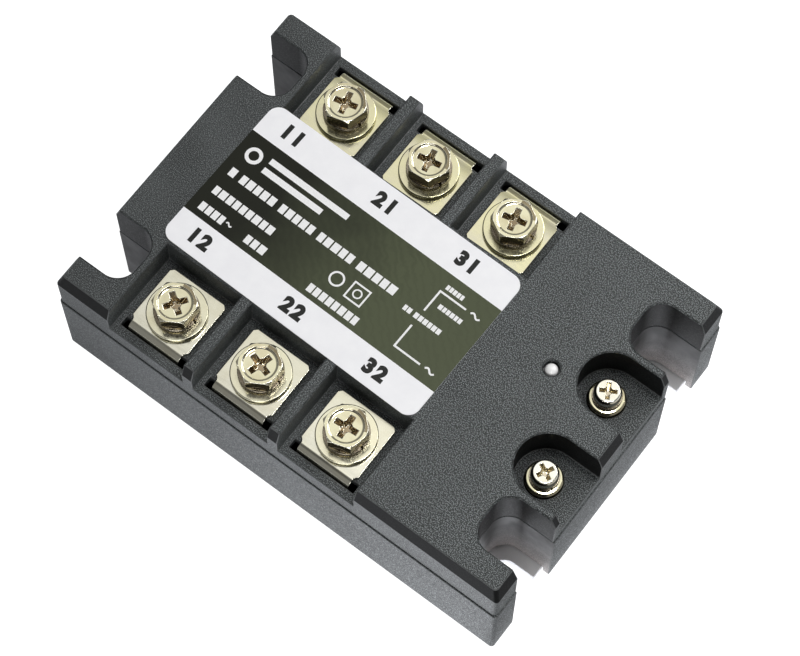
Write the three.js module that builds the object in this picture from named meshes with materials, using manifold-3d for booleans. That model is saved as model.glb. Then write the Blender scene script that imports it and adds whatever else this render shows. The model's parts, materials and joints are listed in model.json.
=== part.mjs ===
// A three-phase solid state relay: a potted power unit in a moulded housing on a metal base plate,
// with six load terminals in side ledges, two control terminals at one end and a status light.
// Millimetres. The origin is the centre of the mounting face, +X runs from the load end to the
// control end, +Y points at the first row of load terminals, and +Z is up.

import * as THREE from "three";
import { mergeVertices } from "three/addons/utils/BufferGeometryUtils.js";
import Module from "manifold-3d";

const wasm = await Module();
wasm.setup();

// ---- Driving dimensions ----

const LENGTH = 105;
const WIDTH = 73;
const COVER_TOP = 32.8;
const CLEARANCE = 0.3; // between pieces that face each other
const SEAT_GAP = 0.1; // between flat faces that rest on each other
const CUT_PAST = 1; // how far a cutter runs past the face that it opens

// Housing
const SHELL_BOTTOM = 0.3; // the plate stands proud of the plastic
const SHELL_TOP = 21;
const COVER_BOTTOM = SHELL_TOP + CLEARANCE;
const COVER_INSET = 0.25; // the cover is a little smaller than the shell
const INNER_HALF_Y = 34.3; // inner faces of both side walls
const INNER_HALF_X = 50.1;
const TOP_WALL = 2.2;
const EDGE_RADIUS = 1.5; // round along the cover's top edge

// Base plate, and the slots in it that the mounting screws go through
const PLATE_THICKNESS = 2;
const PLATE_HALF_X = 50.7;
const PLATE_HALF_Y = 34.7;
const SLOT_X = 46; // half the mounting pitch along the length
const SLOT_HALF_WIDTH = 3.2;

// U-shaped notches in the housing over those slots
const NOTCH_Y = 24; // half the mounting pitch across the width
const NOTCH_HALF_WIDTH = 5.85;
const NOTCH_END_X = 40.9;
const NOTCH_CORNER = 4.2;
const NOTCH_WALL = 1.8;

// Ledges for the load terminals: three bays on each side, with ribs between them
const BAY_START_X = -39.5;
const BAY_LENGTH = 17.95;
const RIB_THICKNESS = 2.4;
const BAY_COUNT = 3;
const BAY_PITCH = BAY_LENGTH + RIB_THICKNESS;
const BAYS_END_X = BAY_START_X + BAY_COUNT * BAY_PITCH - RIB_THICKNESS;
const LEDGE_Z = 26;
const LEDGE_WALL = 2;
const LEDGE_INNER_Y = 17.75;

// Load terminals
const TERMINAL_START_X = -30.7;
const TERMINAL_PITCH = 20.35;
const TERMINAL_Y = 26.3;
const STRIP_THICKNESS = 1;
const STRIP_HALF_WIDTH = 6.75;
const STRIP_INNER_Y = 19.5;
const STRIP_BEND_Y = 32.1; // where the bend down starts
const STRIP_BEND_RADIUS = 1.9; // outer face of the bend
const STRIP_LEG_HALF_WIDTH = 6.1;
const STRIP_FOOT_Y = 24;
const STRIP_FOOT_Z = 3;
const STRIP_HOLE_RADIUS = 2.8;
const STRIP_SLOT_HALF_LENGTH = 7.6;
const STRIP_SLOT_INNER_Y = STRIP_BEND_Y + SEAT_GAP;

// M5 load screws with spring and flat washers
const LOAD_SHANK_RADIUS = 2.35;
const LOAD_SHANK_LENGTH = 9.6;
const LOAD_HEX_FLATS = 8;
const LOAD_HEAD_HEIGHT = 3.3;
const LOAD_FLAT_WASHER = { outer: 6.05, inner: 2.75, thickness: 1 };
const LOAD_LOCK_WASHER = { outer: 4.5, inner: 2.75, thickness: 1.1 };
const NUT_HEIGHT = 4;
const NUT_BORE_RADIUS = 2.7;

// Control terminals in two round-ended pockets that open at the end face
const POCKET_Y = 10.05;
const POCKET_HALF_WIDTH = 6.6;
const POCKET_END_X = 38.05;
const POCKET_FLOOR_Z = 24;
const CONTROL_X = 44;
const POST_RADIUS = 3.7;
const POST_TOP_Z = 25;
const POST_BORE_RADIUS = 1.75;

// M3 control screws with spring and flat washers
const CONTROL_SHANK_RADIUS = 1.4;
const CONTROL_SHANK_LENGTH = 7.5;
const CONTROL_HEAD_RADIUS = 2.75;
const CONTROL_HEAD_HEIGHT = 2.3;
const CONTROL_FLAT_WASHER = { outer: 3.5, inner: 1.7, thickness: 0.5 };
const CONTROL_LOCK_WASHER = { outer: 2.95, inner: 1.7, thickness: 0.7 };

// Label and status light
const LABEL = { x: -11.12, y: -0.13, length: 60.7, width: 34, corner: 2.5, turn: -0.02 };
const LABEL_THICKNESS = 0.2;
const LIGHT_X = 33.6;
const LIGHT_Y = 5.95;
const LIGHT_RADIUS = 1.5;

// Control board and what it carries
const BOARD_Z = 14;
const BOARD_THICKNESS = 1.6;
const BOARD_START_X = -38;
const BOARD_END_X = 49.4;
const BOARD_HALF_Y = 15.4;
const BOARD_TOP = BOARD_Z + BOARD_THICKNESS;
const PART_Z = BOARD_TOP + SEAT_GAP;
const OPTO_Y = -8;
const RECTIFIER = { x: 31, y: -9, halfX: 4.2, halfY: 3.2, height: 2.6 };
const RESISTOR = { x: 16, y: 3, radius: 2.4, halfLength: 6.5, wireRadius: 0.4 };
const CAPACITOR = { x: 26, y: 9, radius: 4, height: 11 };

// Power stage on the plate
const TILE = { halfX: 7.5, halfY: 31.5, z: PLATE_THICKNESS + SEAT_GAP, thickness: 0.8 };
const CHIP = { half: 4.5, thickness: 0.5 };
const POTTING_BOTTOM = STRIP_FOOT_Z + STRIP_THICKNESS + CLEARANCE;
const POTTING_TOP = 11;

// ---- Joining and cutting ----

/** The closed solid of a three.js geometry. */
function solid(geometry) {
  const bare = geometry.clone();
  bare.deleteAttribute("normal");
  bare.deleteAttribute("uv");
  const merged = mergeVertices(bare, 1e-4);
  return new wasm.Manifold(
    new wasm.Mesh({
      numProp: 3,
      vertProperties: merged.attributes.position.array,
      triVerts: new Uint32Array(merged.index.array),
    }),
  );
}

/** The union of several geometries. */
function join(geometries) {
  return geometries.map(solid).reduce((whole, piece) => whole.add(piece));
}

/** Body geometries joined, with the cutter geometries taken away. */
function carve(bodies, cutters) {
  const whole = cutters.map(solid).reduce((left, cutter) => left.subtract(cutter), join(bodies));
  return geometryOf(whole);
}

/** A manifold solid as a three.js geometry. */
function geometryOf(whole) {
  const mesh = whole.getMesh();
  const geometry = new THREE.BufferGeometry();
  const positions = new Float32Array(mesh.numVert * 3);
  for (let i = 0; i < mesh.numVert; i++) {
    positions.set(mesh.vertProperties.subarray(i * mesh.numProp, i * mesh.numProp + 3), i * 3);
  }
  geometry.setAttribute("position", new THREE.BufferAttribute(positions, 3));
  geometry.setIndex(new THREE.BufferAttribute(mesh.triVerts, 1));
  const flat = geometry.toNonIndexed();
  flat.computeVertexNormals();
  return flat;
}

// ---- Basic shapes ----

/** A box between two corners. */
function box(x0, x1, y0, y1, z0, z1) {
  return new THREE.BoxGeometry(x1 - x0, y1 - y0, z1 - z0).translate(
    (x0 + x1) / 2,
    (y0 + y1) / 2,
    (z0 + z1) / 2,
  );
}

/** A shape in XY raised from z0 to z1. */
function prism(shape, z0, z1, curveSegments = 6) {
  return new THREE.ExtrudeGeometry(shape, {
    depth: z1 - z0,
    bevelEnabled: false,
    curveSegments,
  }).translate(0, 0, z0);
}

/** An upright cylinder. */
function rod(x, y, radius, z0, z1, segments = 16) {
  return new THREE.CylinderGeometry(radius, radius, z1 - z0, segments)
    .rotateX(Math.PI / 2)
    .translate(x, y, (z0 + z1) / 2);
}

/** A solid of revolution about +Z from [radius, height] pairs that run upwards. */
function turned(profile, segments = 18) {
  const points = profile.map(([radius, height]) => new THREE.Vector2(radius, height));
  return new THREE.LatheGeometry(points, segments).rotateX(Math.PI / 2);
}

/** A hexagonal bar about +Z, given its size across the flats. */
function hexBar(acrossFlats, z0, z1) {
  return rod(0, 0, acrossFlats / Math.sqrt(3), z0, z1, 6);
}

/** A rectangle with round corners. */
function roundRectangle(halfX, halfY, corner) {
  const shape = new THREE.Shape();
  shape.absarc(halfX - corner, halfY - corner, corner, 0, Math.PI / 2);
  shape.absarc(corner - halfX, halfY - corner, corner, Math.PI / 2, Math.PI);
  shape.absarc(corner - halfX, corner - halfY, corner, Math.PI, Math.PI * 1.5);
  shape.absarc(halfX - corner, corner - halfY, corner, Math.PI * 1.5, Math.PI * 2);
  return shape;
}

/** A U that is open towards +X past the end of the housing, with its inner corners rounded. */
function openU(innerX, centreY, halfWidth, corner) {
  const outerX = LENGTH / 2 + CUT_PAST;
  const shape = new THREE.Shape();
  shape.moveTo(outerX, centreY + halfWidth);
  shape.lineTo(innerX + corner, centreY + halfWidth);
  shape.absarc(innerX + corner, centreY + halfWidth - corner, corner, Math.PI / 2, Math.PI);
  shape.absarc(innerX + corner, centreY - halfWidth + corner, corner, Math.PI, Math.PI * 1.5);
  shape.lineTo(outerX, centreY - halfWidth);
  return shape;
}

/** The same prism at all four corners of the housing. */
function atFourCorners(innerX, halfWidth, corner, z0, z1) {
  return [NOTCH_Y, -NOTCH_Y].flatMap((y) => {
    const nearEnd = prism(openU(innerX, y, halfWidth, corner), z0, z1);
    return [nearEnd, nearEnd.clone().rotateZ(Math.PI)];
  });
}

/** The x of each load terminal, from the load end. */
const terminalXs = [...Array(BAY_COUNT).keys()].map((i) => TERMINAL_START_X + i * TERMINAL_PITCH);

// ---- Housing ----

/** The space inside the housing between z0 and z1, with the walls of the notches left standing. */
function innerSpace(z0, z1) {
  const walls = atFourCorners(
    NOTCH_END_X - NOTCH_WALL,
    NOTCH_HALF_WIDTH + NOTCH_WALL,
    NOTCH_CORNER + NOTCH_WALL,
    z0 - CUT_PAST,
    z1 + CUT_PAST,
  );
  const room = box(-INNER_HALF_X, INNER_HALF_X, -INNER_HALF_Y, INNER_HALF_Y, z0, z1);
  return carve([room], walls);
}

function basePlate() {
  const slots = atFourCorners(
    SLOT_X - SLOT_HALF_WIDTH,
    SLOT_HALF_WIDTH,
    SLOT_HALF_WIDTH,
    -CUT_PAST,
    PLATE_THICKNESS + CUT_PAST,
  );
  const sheet = box(-PLATE_HALF_X, PLATE_HALF_X, -PLATE_HALF_Y, PLATE_HALF_Y, 0, PLATE_THICKNESS);
  return carve([sheet], slots);
}

function baseShell() {
  const rebateX = PLATE_HALF_X + CLEARANCE;
  const rebateY = PLATE_HALF_Y + CLEARANCE;
  const rebateTop = PLATE_THICKNESS + CLEARANCE;
  return carve(
    [box(-LENGTH / 2, LENGTH / 2, -WIDTH / 2, WIDTH / 2, SHELL_BOTTOM, SHELL_TOP)],
    [
      ...atFourCorners(
        NOTCH_END_X,
        NOTCH_HALF_WIDTH,
        NOTCH_CORNER,
        SHELL_BOTTOM - CUT_PAST,
        SHELL_TOP + CUT_PAST,
      ),
      box(-rebateX, rebateX, -rebateY, rebateY, SHELL_BOTTOM - CUT_PAST, rebateTop),
      innerSpace(rebateTop - CUT_PAST, SHELL_TOP + CUT_PAST),
    ],
  );
}

/** The cover's block with its top edge rounded. */
function coverBlock() {
  const halfX = LENGTH / 2 - COVER_INSET - EDGE_RADIUS;
  const halfY = WIDTH / 2 - COVER_INSET - EDGE_RADIUS;
  const outline = new THREE.Shape();
  outline.moveTo(-halfX, -halfY);
  outline.lineTo(halfX, -halfY);
  outline.lineTo(halfX, halfY);
  outline.lineTo(-halfX, halfY);
  const below = COVER_BOTTOM - 2 * EDGE_RADIUS;
  const rounded = new THREE.ExtrudeGeometry(outline, {
    depth: COVER_TOP - EDGE_RADIUS - below,
    bevelThickness: EDGE_RADIUS,
    bevelSize: EDGE_RADIUS,
    bevelSegments: 4,
  }).translate(0, 0, below);
  const underside = box(-LENGTH, LENGTH, -WIDTH, WIDTH, -CUT_PAST, COVER_BOTTOM);
  return carve([rounded], [underside]);
}

/** The three bays of one side, cut down to the ledge. */
function bays(side) {
  const inner = side * LEDGE_INNER_Y;
  const outer = side * (WIDTH / 2 + CUT_PAST);
  return [...Array(BAY_COUNT).keys()].map((i) => {
    const start = BAY_START_X + i * BAY_PITCH;
    const end = start + BAY_LENGTH;
    const [low, high] = [Math.min(inner, outer), Math.max(inner, outer)];
    return box(start, end, low, high, LEDGE_Z, COVER_TOP + CUT_PAST);
  });
}

/** The hollow under the cover, which follows the ledges, pockets and notches at wall thickness. */
function coverHollow() {
  const roof = COVER_TOP - TOP_WALL;
  const ledges = [1, -1].map((side) => {
    const inner = side * (LEDGE_INNER_Y - LEDGE_WALL);
    const outer = side * WIDTH;
    return box(
      BAY_START_X - LEDGE_WALL,
      BAYS_END_X + LEDGE_WALL,
      Math.min(inner, outer),
      Math.max(inner, outer),
      LEDGE_Z - LEDGE_WALL,
      COVER_TOP,
    );
  });
  const pockets = [POCKET_Y, -POCKET_Y].map((y) =>
    prism(
      openU(
        POCKET_END_X - LEDGE_WALL,
        y,
        POCKET_HALF_WIDTH + LEDGE_WALL,
        POCKET_HALF_WIDTH + LEDGE_WALL,
      ),
      POCKET_FLOOR_Z - LEDGE_WALL,
      COVER_TOP,
    ),
  );
  return carve([innerSpace(COVER_BOTTOM - CUT_PAST, roof)], [...ledges, ...pockets]);
}

// Boxed-in pockets under the ledges hold the nuts.
const NUT_POCKET_FLATS = LOAD_HEX_FLATS + 2 * CLEARANCE;
const NUT_POCKET_DEPTH = NUT_HEIGHT + CLEARANCE;
const BOSS_HALF = 6.1;
const BOSS_BOTTOM = LEDGE_Z - NUT_POCKET_DEPTH - LEDGE_WALL;
// Pins under the roof hold the control board down.
const BOARD_PINS = [
  [-34, 0],
  [24, 0],
];
const BOARD_PIN_RADIUS = 2;

function topCover() {
  const bosses = [];
  const cuts = [];
  for (const side of [1, -1]) {
    for (const x of terminalXs) {
      const y = side * TERMINAL_Y;
      bosses.push(
        box(x - BOSS_HALF, x + BOSS_HALF, y - BOSS_HALF, y + BOSS_HALF, BOSS_BOTTOM, LEDGE_Z),
      );
      cuts.push(
        hexBar(NUT_POCKET_FLATS, LEDGE_Z - NUT_POCKET_DEPTH, LEDGE_Z + CUT_PAST).translate(x, y, 0),
      );
      cuts.push(rod(x, y, STRIP_HOLE_RADIUS, BOSS_BOTTOM - CUT_PAST, LEDGE_Z));
      const [low, high] = [side * STRIP_SLOT_INNER_Y, side * INNER_HALF_Y].sort((a, b) => a - b);
      cuts.push(
        box(
          x - STRIP_SLOT_HALF_LENGTH,
          x + STRIP_SLOT_HALF_LENGTH,
          low,
          high,
          BOSS_BOTTOM - CUT_PAST,
          LEDGE_Z + CUT_PAST,
        ),
      );
    }
  }
  for (const side of [1, -1]) {
    const y = side * POCKET_Y;
    cuts.push(
      prism(
        openU(POCKET_END_X, y, POCKET_HALF_WIDTH, POCKET_HALF_WIDTH),
        POCKET_FLOOR_Z,
        COVER_TOP + CUT_PAST,
        12,
      ),
    );
    cuts.push(rod(CONTROL_X, y, POST_RADIUS + CLEARANCE, COVER_BOTTOM - CUT_PAST, COVER_TOP));
  }
  cuts.push(
    rod(LIGHT_X, LIGHT_Y, LIGHT_RADIUS + CLEARANCE, COVER_BOTTOM, COVER_TOP + CUT_PAST, 16),
  );
  const pins = BOARD_PINS.map(([x, y]) =>
    rod(x, y, BOARD_PIN_RADIUS, PART_Z, COVER_TOP - TOP_WALL / 2, 12),
  );
  const notches = atFourCorners(
    NOTCH_END_X,
    NOTCH_HALF_WIDTH,
    NOTCH_CORNER,
    COVER_BOTTOM - CUT_PAST,
    COVER_TOP + CUT_PAST,
  );
  const hollowed = carve([coverBlock()], [coverHollow()]);
  return carve([hollowed, ...bosses, ...pins], [...bays(1), ...bays(-1), ...notches, ...cuts]);
}

function frontLabel() {
  const outline = roundRectangle(LABEL.length / 2, LABEL.width / 2, LABEL.corner);
  return prism(outline, 0, LABEL_THICKNESS, 5);
}

// ---- Load terminals ----

/** The side view of a terminal strip: top, bend, leg and foot, in (distance out, height). */
function stripProfile() {
  const top = LEDGE_Z + SEAT_GAP + STRIP_THICKNESS;
  const outerY = STRIP_BEND_Y + STRIP_BEND_RADIUS;
  const innerY = outerY - STRIP_THICKNESS;
  const bendZ = top - STRIP_BEND_RADIUS;
  const footTop = STRIP_FOOT_Z + STRIP_THICKNESS;
  const innerRadius = STRIP_BEND_RADIUS - STRIP_THICKNESS;
  const shape = new THREE.Shape();
  shape.moveTo(STRIP_INNER_Y, top - STRIP_THICKNESS);
  shape.lineTo(STRIP_BEND_Y, top - STRIP_THICKNESS);
  shape.absarc(STRIP_BEND_Y, bendZ, innerRadius, Math.PI / 2, 0, true);
  shape.lineTo(innerY, footTop);
  shape.lineTo(STRIP_FOOT_Y, footTop);
  shape.lineTo(STRIP_FOOT_Y, STRIP_FOOT_Z);
  shape.lineTo(outerY, STRIP_FOOT_Z);
  shape.absarc(STRIP_BEND_Y, bendZ, STRIP_BEND_RADIUS, 0, Math.PI / 2);
  shape.lineTo(STRIP_INNER_Y, top);
  return shape;
}

/** One strip for the +Y row, centred on x = 0. */
function terminalStrip() {
  const bar = new THREE.ExtrudeGeometry(stripProfile(), {
    depth: 2 * STRIP_HALF_WIDTH,
    bevelEnabled: false,
    curveSegments: 5,
  });
  bar.rotateX(Math.PI / 2).rotateZ(Math.PI / 2).translate(-STRIP_HALF_WIDTH, 0, 0);
  const shoulders = [1, -1].map((side) => {
    const [low, high] = [side * STRIP_LEG_HALF_WIDTH, side * 2 * STRIP_HALF_WIDTH].sort(
      (a, b) => a - b,
    );
    return box(low, high, STRIP_BEND_Y, WIDTH, 0, COVER_TOP);
  });
  const feet = [1, -1].map((side) => {
    const [low, high] = [side * STRIP_LEG_HALF_WIDTH, side * 2 * STRIP_HALF_WIDTH].sort(
      (a, b) => a - b,
    );
    return box(low, high, 0, WIDTH, 0, LEDGE_Z - LEDGE_WALL);
  });
  const hole = rod(0, TERMINAL_Y, STRIP_HOLE_RADIUS, LEDGE_Z - CUT_PAST, COVER_TOP);
  return carve([bar], [...shoulders, ...feet, hole]);
}

/** A flat ring standing on z = 0. */
function flatWasher({ outer, inner, thickness }) {
  return turned(
    [
      [inner, 0],
      [outer, 0],
      [outer, thickness],
      [inner, thickness],
      [inner, 0],
    ],
    22,
  );
}

/** A ring like the flat one, split by a slanting cut. */
function lockWasher({ outer, inner, thickness }) {
  const splitWidth = 0.5;
  const splitSlant = 0.5;
  const split = new THREE.BoxGeometry(outer, splitWidth, 4 * thickness)
    .rotateX(splitSlant)
    .translate(outer / 2, 0, thickness / 2);
  return carve([flatWasher({ outer, inner, thickness })], [split]);
}

/** A cross recess with its mouth at z = top. */
function crossRecess(armLength, armWidth, depth, top) {
  return [0, Math.PI / 2].map((angle) =>
    new THREE.BoxGeometry(2 * armLength, armWidth, 2 * depth).rotateZ(angle).translate(0, 0, top),
  );
}

/** A hexagon-headed screw with a dished top and a cross recess; the head stands on z = 0. */
function loadScrew() {
  const dishRadius = 3.1;
  const dishDepth = 0.4;
  const chamfer = 0.45;
  const rimRadius = LOAD_HEX_FLATS / 2 - 0.15;
  const cornerRadius = LOAD_HEX_FLATS / Math.sqrt(3);
  const tipChamfer = 0.6;
  const recess = { arm: 2.4, width: 0.95, depth: 1.5 };
  const crown = turned([
    [0, -CUT_PAST],
    [cornerRadius + chamfer, -CUT_PAST],
    [cornerRadius + chamfer, LOAD_HEAD_HEIGHT - 2 * chamfer],
    [rimRadius, LOAD_HEAD_HEIGHT],
    [0, LOAD_HEAD_HEIGHT],
  ]);
  const head = solid(hexBar(LOAD_HEX_FLATS, 0, LOAD_HEAD_HEIGHT)).intersect(solid(crown));
  const shank = turned([
    [0, -LOAD_SHANK_LENGTH],
    [LOAD_SHANK_RADIUS - tipChamfer, -LOAD_SHANK_LENGTH],
    [LOAD_SHANK_RADIUS, tipChamfer - LOAD_SHANK_LENGTH],
    [LOAD_SHANK_RADIUS, chamfer],
    [0, chamfer],
  ]);
  const dishFloor = LOAD_HEAD_HEIGHT - dishDepth;
  const cuts = [
    rod(0, 0, dishRadius, dishFloor, LOAD_HEAD_HEIGHT + CUT_PAST),
    ...crossRecess(recess.arm, recess.width, recess.depth, dishFloor),
  ];
  return carve([geometryOf(head), shank], cuts);
}

function hexNut() {
  return carve(
    [hexBar(LOAD_HEX_FLATS, 0, NUT_HEIGHT)],
    [rod(0, 0, NUT_BORE_RADIUS, -CUT_PAST, NUT_HEIGHT + CUT_PAST)],
  );
}

// ---- Control terminals ----

/** A round-headed screw with a cross recess; the head stands on z = 0. */
function controlScrew() {
  const domeStart = 1.1;
  const domeSteps = 5;
  const recess = { arm: 1.75, width: 0.8, depth: 1.4 };
  const profile = [
    [0, -CONTROL_SHANK_LENGTH],
    [CONTROL_SHANK_RADIUS - CLEARANCE, -CONTROL_SHANK_LENGTH],
    [CONTROL_SHANK_RADIUS, CLEARANCE - CONTROL_SHANK_LENGTH],
    [CONTROL_SHANK_RADIUS, 0],
    [CONTROL_HEAD_RADIUS, 0],
  ];
  for (let i = 0; i <= domeSteps; i++) {
    const angle = (i / domeSteps) * (Math.PI / 2);
    const height = domeStart + (CONTROL_HEAD_HEIGHT - domeStart) * Math.sin(angle);
    profile.push([CONTROL_HEAD_RADIUS * Math.cos(angle), height]);
  }
  profile[profile.length - 1][0] = 0;
  return carve(
    [turned(profile)],
    crossRecess(recess.arm, recess.width, recess.depth, CONTROL_HEAD_HEIGHT),
  );
}

/** A tapped brass post that stands on the control board, hollow from the top. */
function controlPost() {
  const boreBottom = BOARD_TOP + 1;
  return turned([
    [0, PART_Z],
    [POST_RADIUS, PART_Z],
    [POST_RADIUS, POST_TOP_Z],
    [POST_BORE_RADIUS, POST_TOP_Z],
    [POST_BORE_RADIUS, boreBottom],
    [0, boreBottom],
  ]);
}

// ---- Inside ----

/** A light with a domed top, a flange under the cover and two leads down to the board. */
function statusLight() {
  const flangeBottom = 28;
  const flangeTop = COVER_TOP - TOP_WALL - SEAT_GAP;
  const domeCentre = COVER_TOP - LIGHT_RADIUS + 0.15;
  const domeSteps = 4;
  const profile = [
    [0, flangeBottom],
    [LIGHT_RADIUS + 0.5, flangeBottom],
    [LIGHT_RADIUS + 0.5, flangeTop],
    [LIGHT_RADIUS, flangeTop],
  ];
  for (let i = 0; i < domeSteps; i++) {
    const angle = (i / domeSteps) * (Math.PI / 2);
    profile.push([
      LIGHT_RADIUS * Math.cos(angle),
      domeCentre + LIGHT_RADIUS * Math.sin(angle),
    ]);
  }
  profile.push([0, domeCentre + LIGHT_RADIUS]);
  const leadHalf = 0.25;
  const leadX = 1.27 / 2 + 0.3;
  const leads = [leadX, -leadX].map((x) =>
    box(x - leadHalf, x + leadHalf, -leadHalf, leadHalf, PART_Z, flangeBottom + leadHalf),
  );
  return geometryOf(join([turned(profile, 16), ...leads]));
}

/** Potting over the power stage, with gaps for the legs of the terminal strips. */
function pottingCompound() {
  const legGaps = [1, -1].flatMap((side) =>
    terminalXs.map((x) => {
      const inner = STRIP_BEND_Y + STRIP_BEND_RADIUS - STRIP_THICKNESS - CLEARANCE;
      const [low, high] = [side * inner, side * WIDTH].sort((a, b) => a - b);
      const half = STRIP_LEG_HALF_WIDTH + CLEARANCE;
      return box(x - half, x + half, low, high, 0, POTTING_TOP + CUT_PAST);
    }),
  );
  const wallGap = NOTCH_WALL + CLEARANCE;
  const walls = atFourCorners(
    NOTCH_END_X - wallGap,
    NOTCH_HALF_WIDTH + wallGap,
    NOTCH_CORNER + wallGap,
    0,
    POTTING_TOP + CUT_PAST,
  );
  const halfX = INNER_HALF_X - CLEARANCE;
  const halfY = INNER_HALF_Y - CLEARANCE;
  return carve(
    [box(-halfX, halfX, -halfY, halfY, POTTING_BOTTOM, POTTING_TOP)],
    [...legGaps, ...walls],
  );
}

/** A two-row chip package with its body lifted off the board by its bent pins. */
function optoCoupler() {
  const halfX = 3.6;
  const halfY = 3.2;
  const height = 3.4;
  const lift = 0.6;
  const pins = [1, -1].flatMap((side) =>
    [-1, 0, 1].map((place) => {
      const x = place * 2.54;
      const [low, high] = [side * (halfY - 0.2), side * (halfY + 0.7)].sort((a, b) => a - b);
      return box(x - 0.3, x + 0.3, low, high, 0, lift + height / 2);
    }),
  );
  return geometryOf(join([box(-halfX, halfX, -halfY, halfY, lift, lift + height), ...pins]));
}

/** A wire-ended resistor lying along Y, joined to its bent wires. */
function inputResistor() {
  const { radius, halfLength, wireRadius } = RESISTOR;
  const wireY = halfLength + 1.8;
  const body = new THREE.CylinderGeometry(radius, radius, 2 * halfLength, 20).translate(0, 0, radius);
  const wire = new THREE.CylinderGeometry(wireRadius, wireRadius, 2 * wireY, 8).translate(
    0,
    0,
    radius,
  );
  const ends = [1, -1].map((side) =>
    box(
      -wireRadius,
      wireRadius,
      side * wireY - wireRadius,
      side * wireY + wireRadius,
      0,
      radius + wireRadius,
    ),
  );
  return geometryOf(join([body, wire, ...ends]));
}

/** An upright can with a crimped groove near its foot. */
function inputCapacitor() {
  const { radius, height } = CAPACITOR;
  const groove = 0.35;
  return turned([
    [0, 0],
    [radius, 0],
    [radius, 1],
    [radius - groove, 1.4],
    [radius - groove, 1.8],
    [radius, 2.2],
    [radius, height - groove],
    [radius - groove, height],
    [0, height],
  ]);
}

// ---- Finishes ----

const finish = {
  plastic: { color: 0x3c3e3e, roughness: 0.55, metalness: 0 },
  plated: { color: 0xd8d2b4, roughness: 0.28, metalness: 1 },
  springSteel: { color: 0x8a7c66, roughness: 0.35, metalness: 1 },
  aluminium: { color: 0xd2d2d4, roughness: 0.4, metalness: 1 },
  brass: { color: 0xc9b06a, roughness: 0.35, metalness: 1 },
  label: { color: 0xeeeef0, roughness: 0.4, metalness: 0 },
  lens: { color: 0xf2f2f0, roughness: 0.15, metalness: 0 },
  board: { color: 0x2f6b3c, roughness: 0.6, metalness: 0 },
  ceramic: { color: 0xf0efe8, roughness: 0.5, metalness: 0 },
  silicon: { color: 0x6b6f78, roughness: 0.3, metalness: 0.4 },
  potting: { color: 0x1d1d1f, roughness: 0.45, metalness: 0 },
  moulding: { color: 0x202022, roughness: 0.5, metalness: 0 },
  resistor: { color: 0x9a8a70, roughness: 0.6, metalness: 0 },
};

const relay = new THREE.Group();

/** Adds a named piece at a place, turned about Z. */
function place(name, geometry, finishName, [x, y, z] = [0, 0, 0], turn = 0) {
  const mesh = new THREE.Mesh(geometry, new THREE.MeshStandardMaterial(finish[finishName]));
  mesh.name = name;
  mesh.position.set(x, y, z);
  mesh.rotation.z = turn;
  relay.add(mesh);
}

// ---- Assembly ----

place("base_plate", basePlate(), "aluminium");
place("base_shell", baseShell(), "plastic");
place("top_cover", topCover(), "plastic");
place(
  "front_label",
  frontLabel(),
  "label",
  [LABEL.x, LABEL.y, COVER_TOP + SEAT_GAP / 2],
  LABEL.turn,
);
place("status_led", statusLight(), "lens", [LIGHT_X, LIGHT_Y, 0]);

// How far each load screw happens to be turned when it is tight, in degrees.
const loadScrewTurns = { a1: 20, b1: 52, c1: -20, a2: 12, b2: 40, c2: -32 };
const stripTop = LEDGE_Z + SEAT_GAP + STRIP_THICKNESS;

terminalXs.forEach((x, i) => {
  for (const [row, side] of [
    ["1", 1],
    ["2", -1],
  ]) {
    const id = "abc"[i] + row;
    const y = side * TERMINAL_Y;
    const facing = side > 0 ? 0 : Math.PI;
    const turn = THREE.MathUtils.degToRad(loadScrewTurns[id]);
    const flatZ = stripTop + SEAT_GAP;
    const lockZ = flatZ + LOAD_FLAT_WASHER.thickness + SEAT_GAP;
    const headZ = lockZ + LOAD_LOCK_WASHER.thickness + SEAT_GAP;
    place("output_terminal_" + id, terminalStrip(), "plated", [x, 0, 0], facing);
    place("captive_nut_" + id, hexNut(), "plated", [x, y, LEDGE_Z - NUT_HEIGHT - SEAT_GAP]);
    place("output_flat_washer_" + id, flatWasher(LOAD_FLAT_WASHER), "plated", [x, y, flatZ]);
    place("output_lock_washer_" + id, lockWasher(LOAD_LOCK_WASHER), "springSteel", [x, y, lockZ], turn);
    place("output_screw_" + id, loadScrew(), "plated", [x, y, headZ], turn);
  }
});

[-1, 1].forEach((side, i) => {
  const id = String(i + 1);
  const y = side * POCKET_Y;
  const flatZ = POST_TOP_Z + SEAT_GAP;
  const lockZ = flatZ + CONTROL_FLAT_WASHER.thickness + SEAT_GAP;
  const headZ = lockZ + CONTROL_LOCK_WASHER.thickness + SEAT_GAP;
  const turn = 0.5 * side;
  place("input_post_" + id, controlPost(), "brass", [CONTROL_X, y, 0]);
  place("input_flat_washer_" + id, flatWasher(CONTROL_FLAT_WASHER), "plated", [CONTROL_X, y, flatZ]);
  place(
    "input_lock_washer_" + id,
    lockWasher(CONTROL_LOCK_WASHER),
    "springSteel",
    [CONTROL_X, y, lockZ],
    turn,
  );
  place("input_screw_" + id, controlScrew(), "plated", [CONTROL_X, y, headZ], turn);
});

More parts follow.
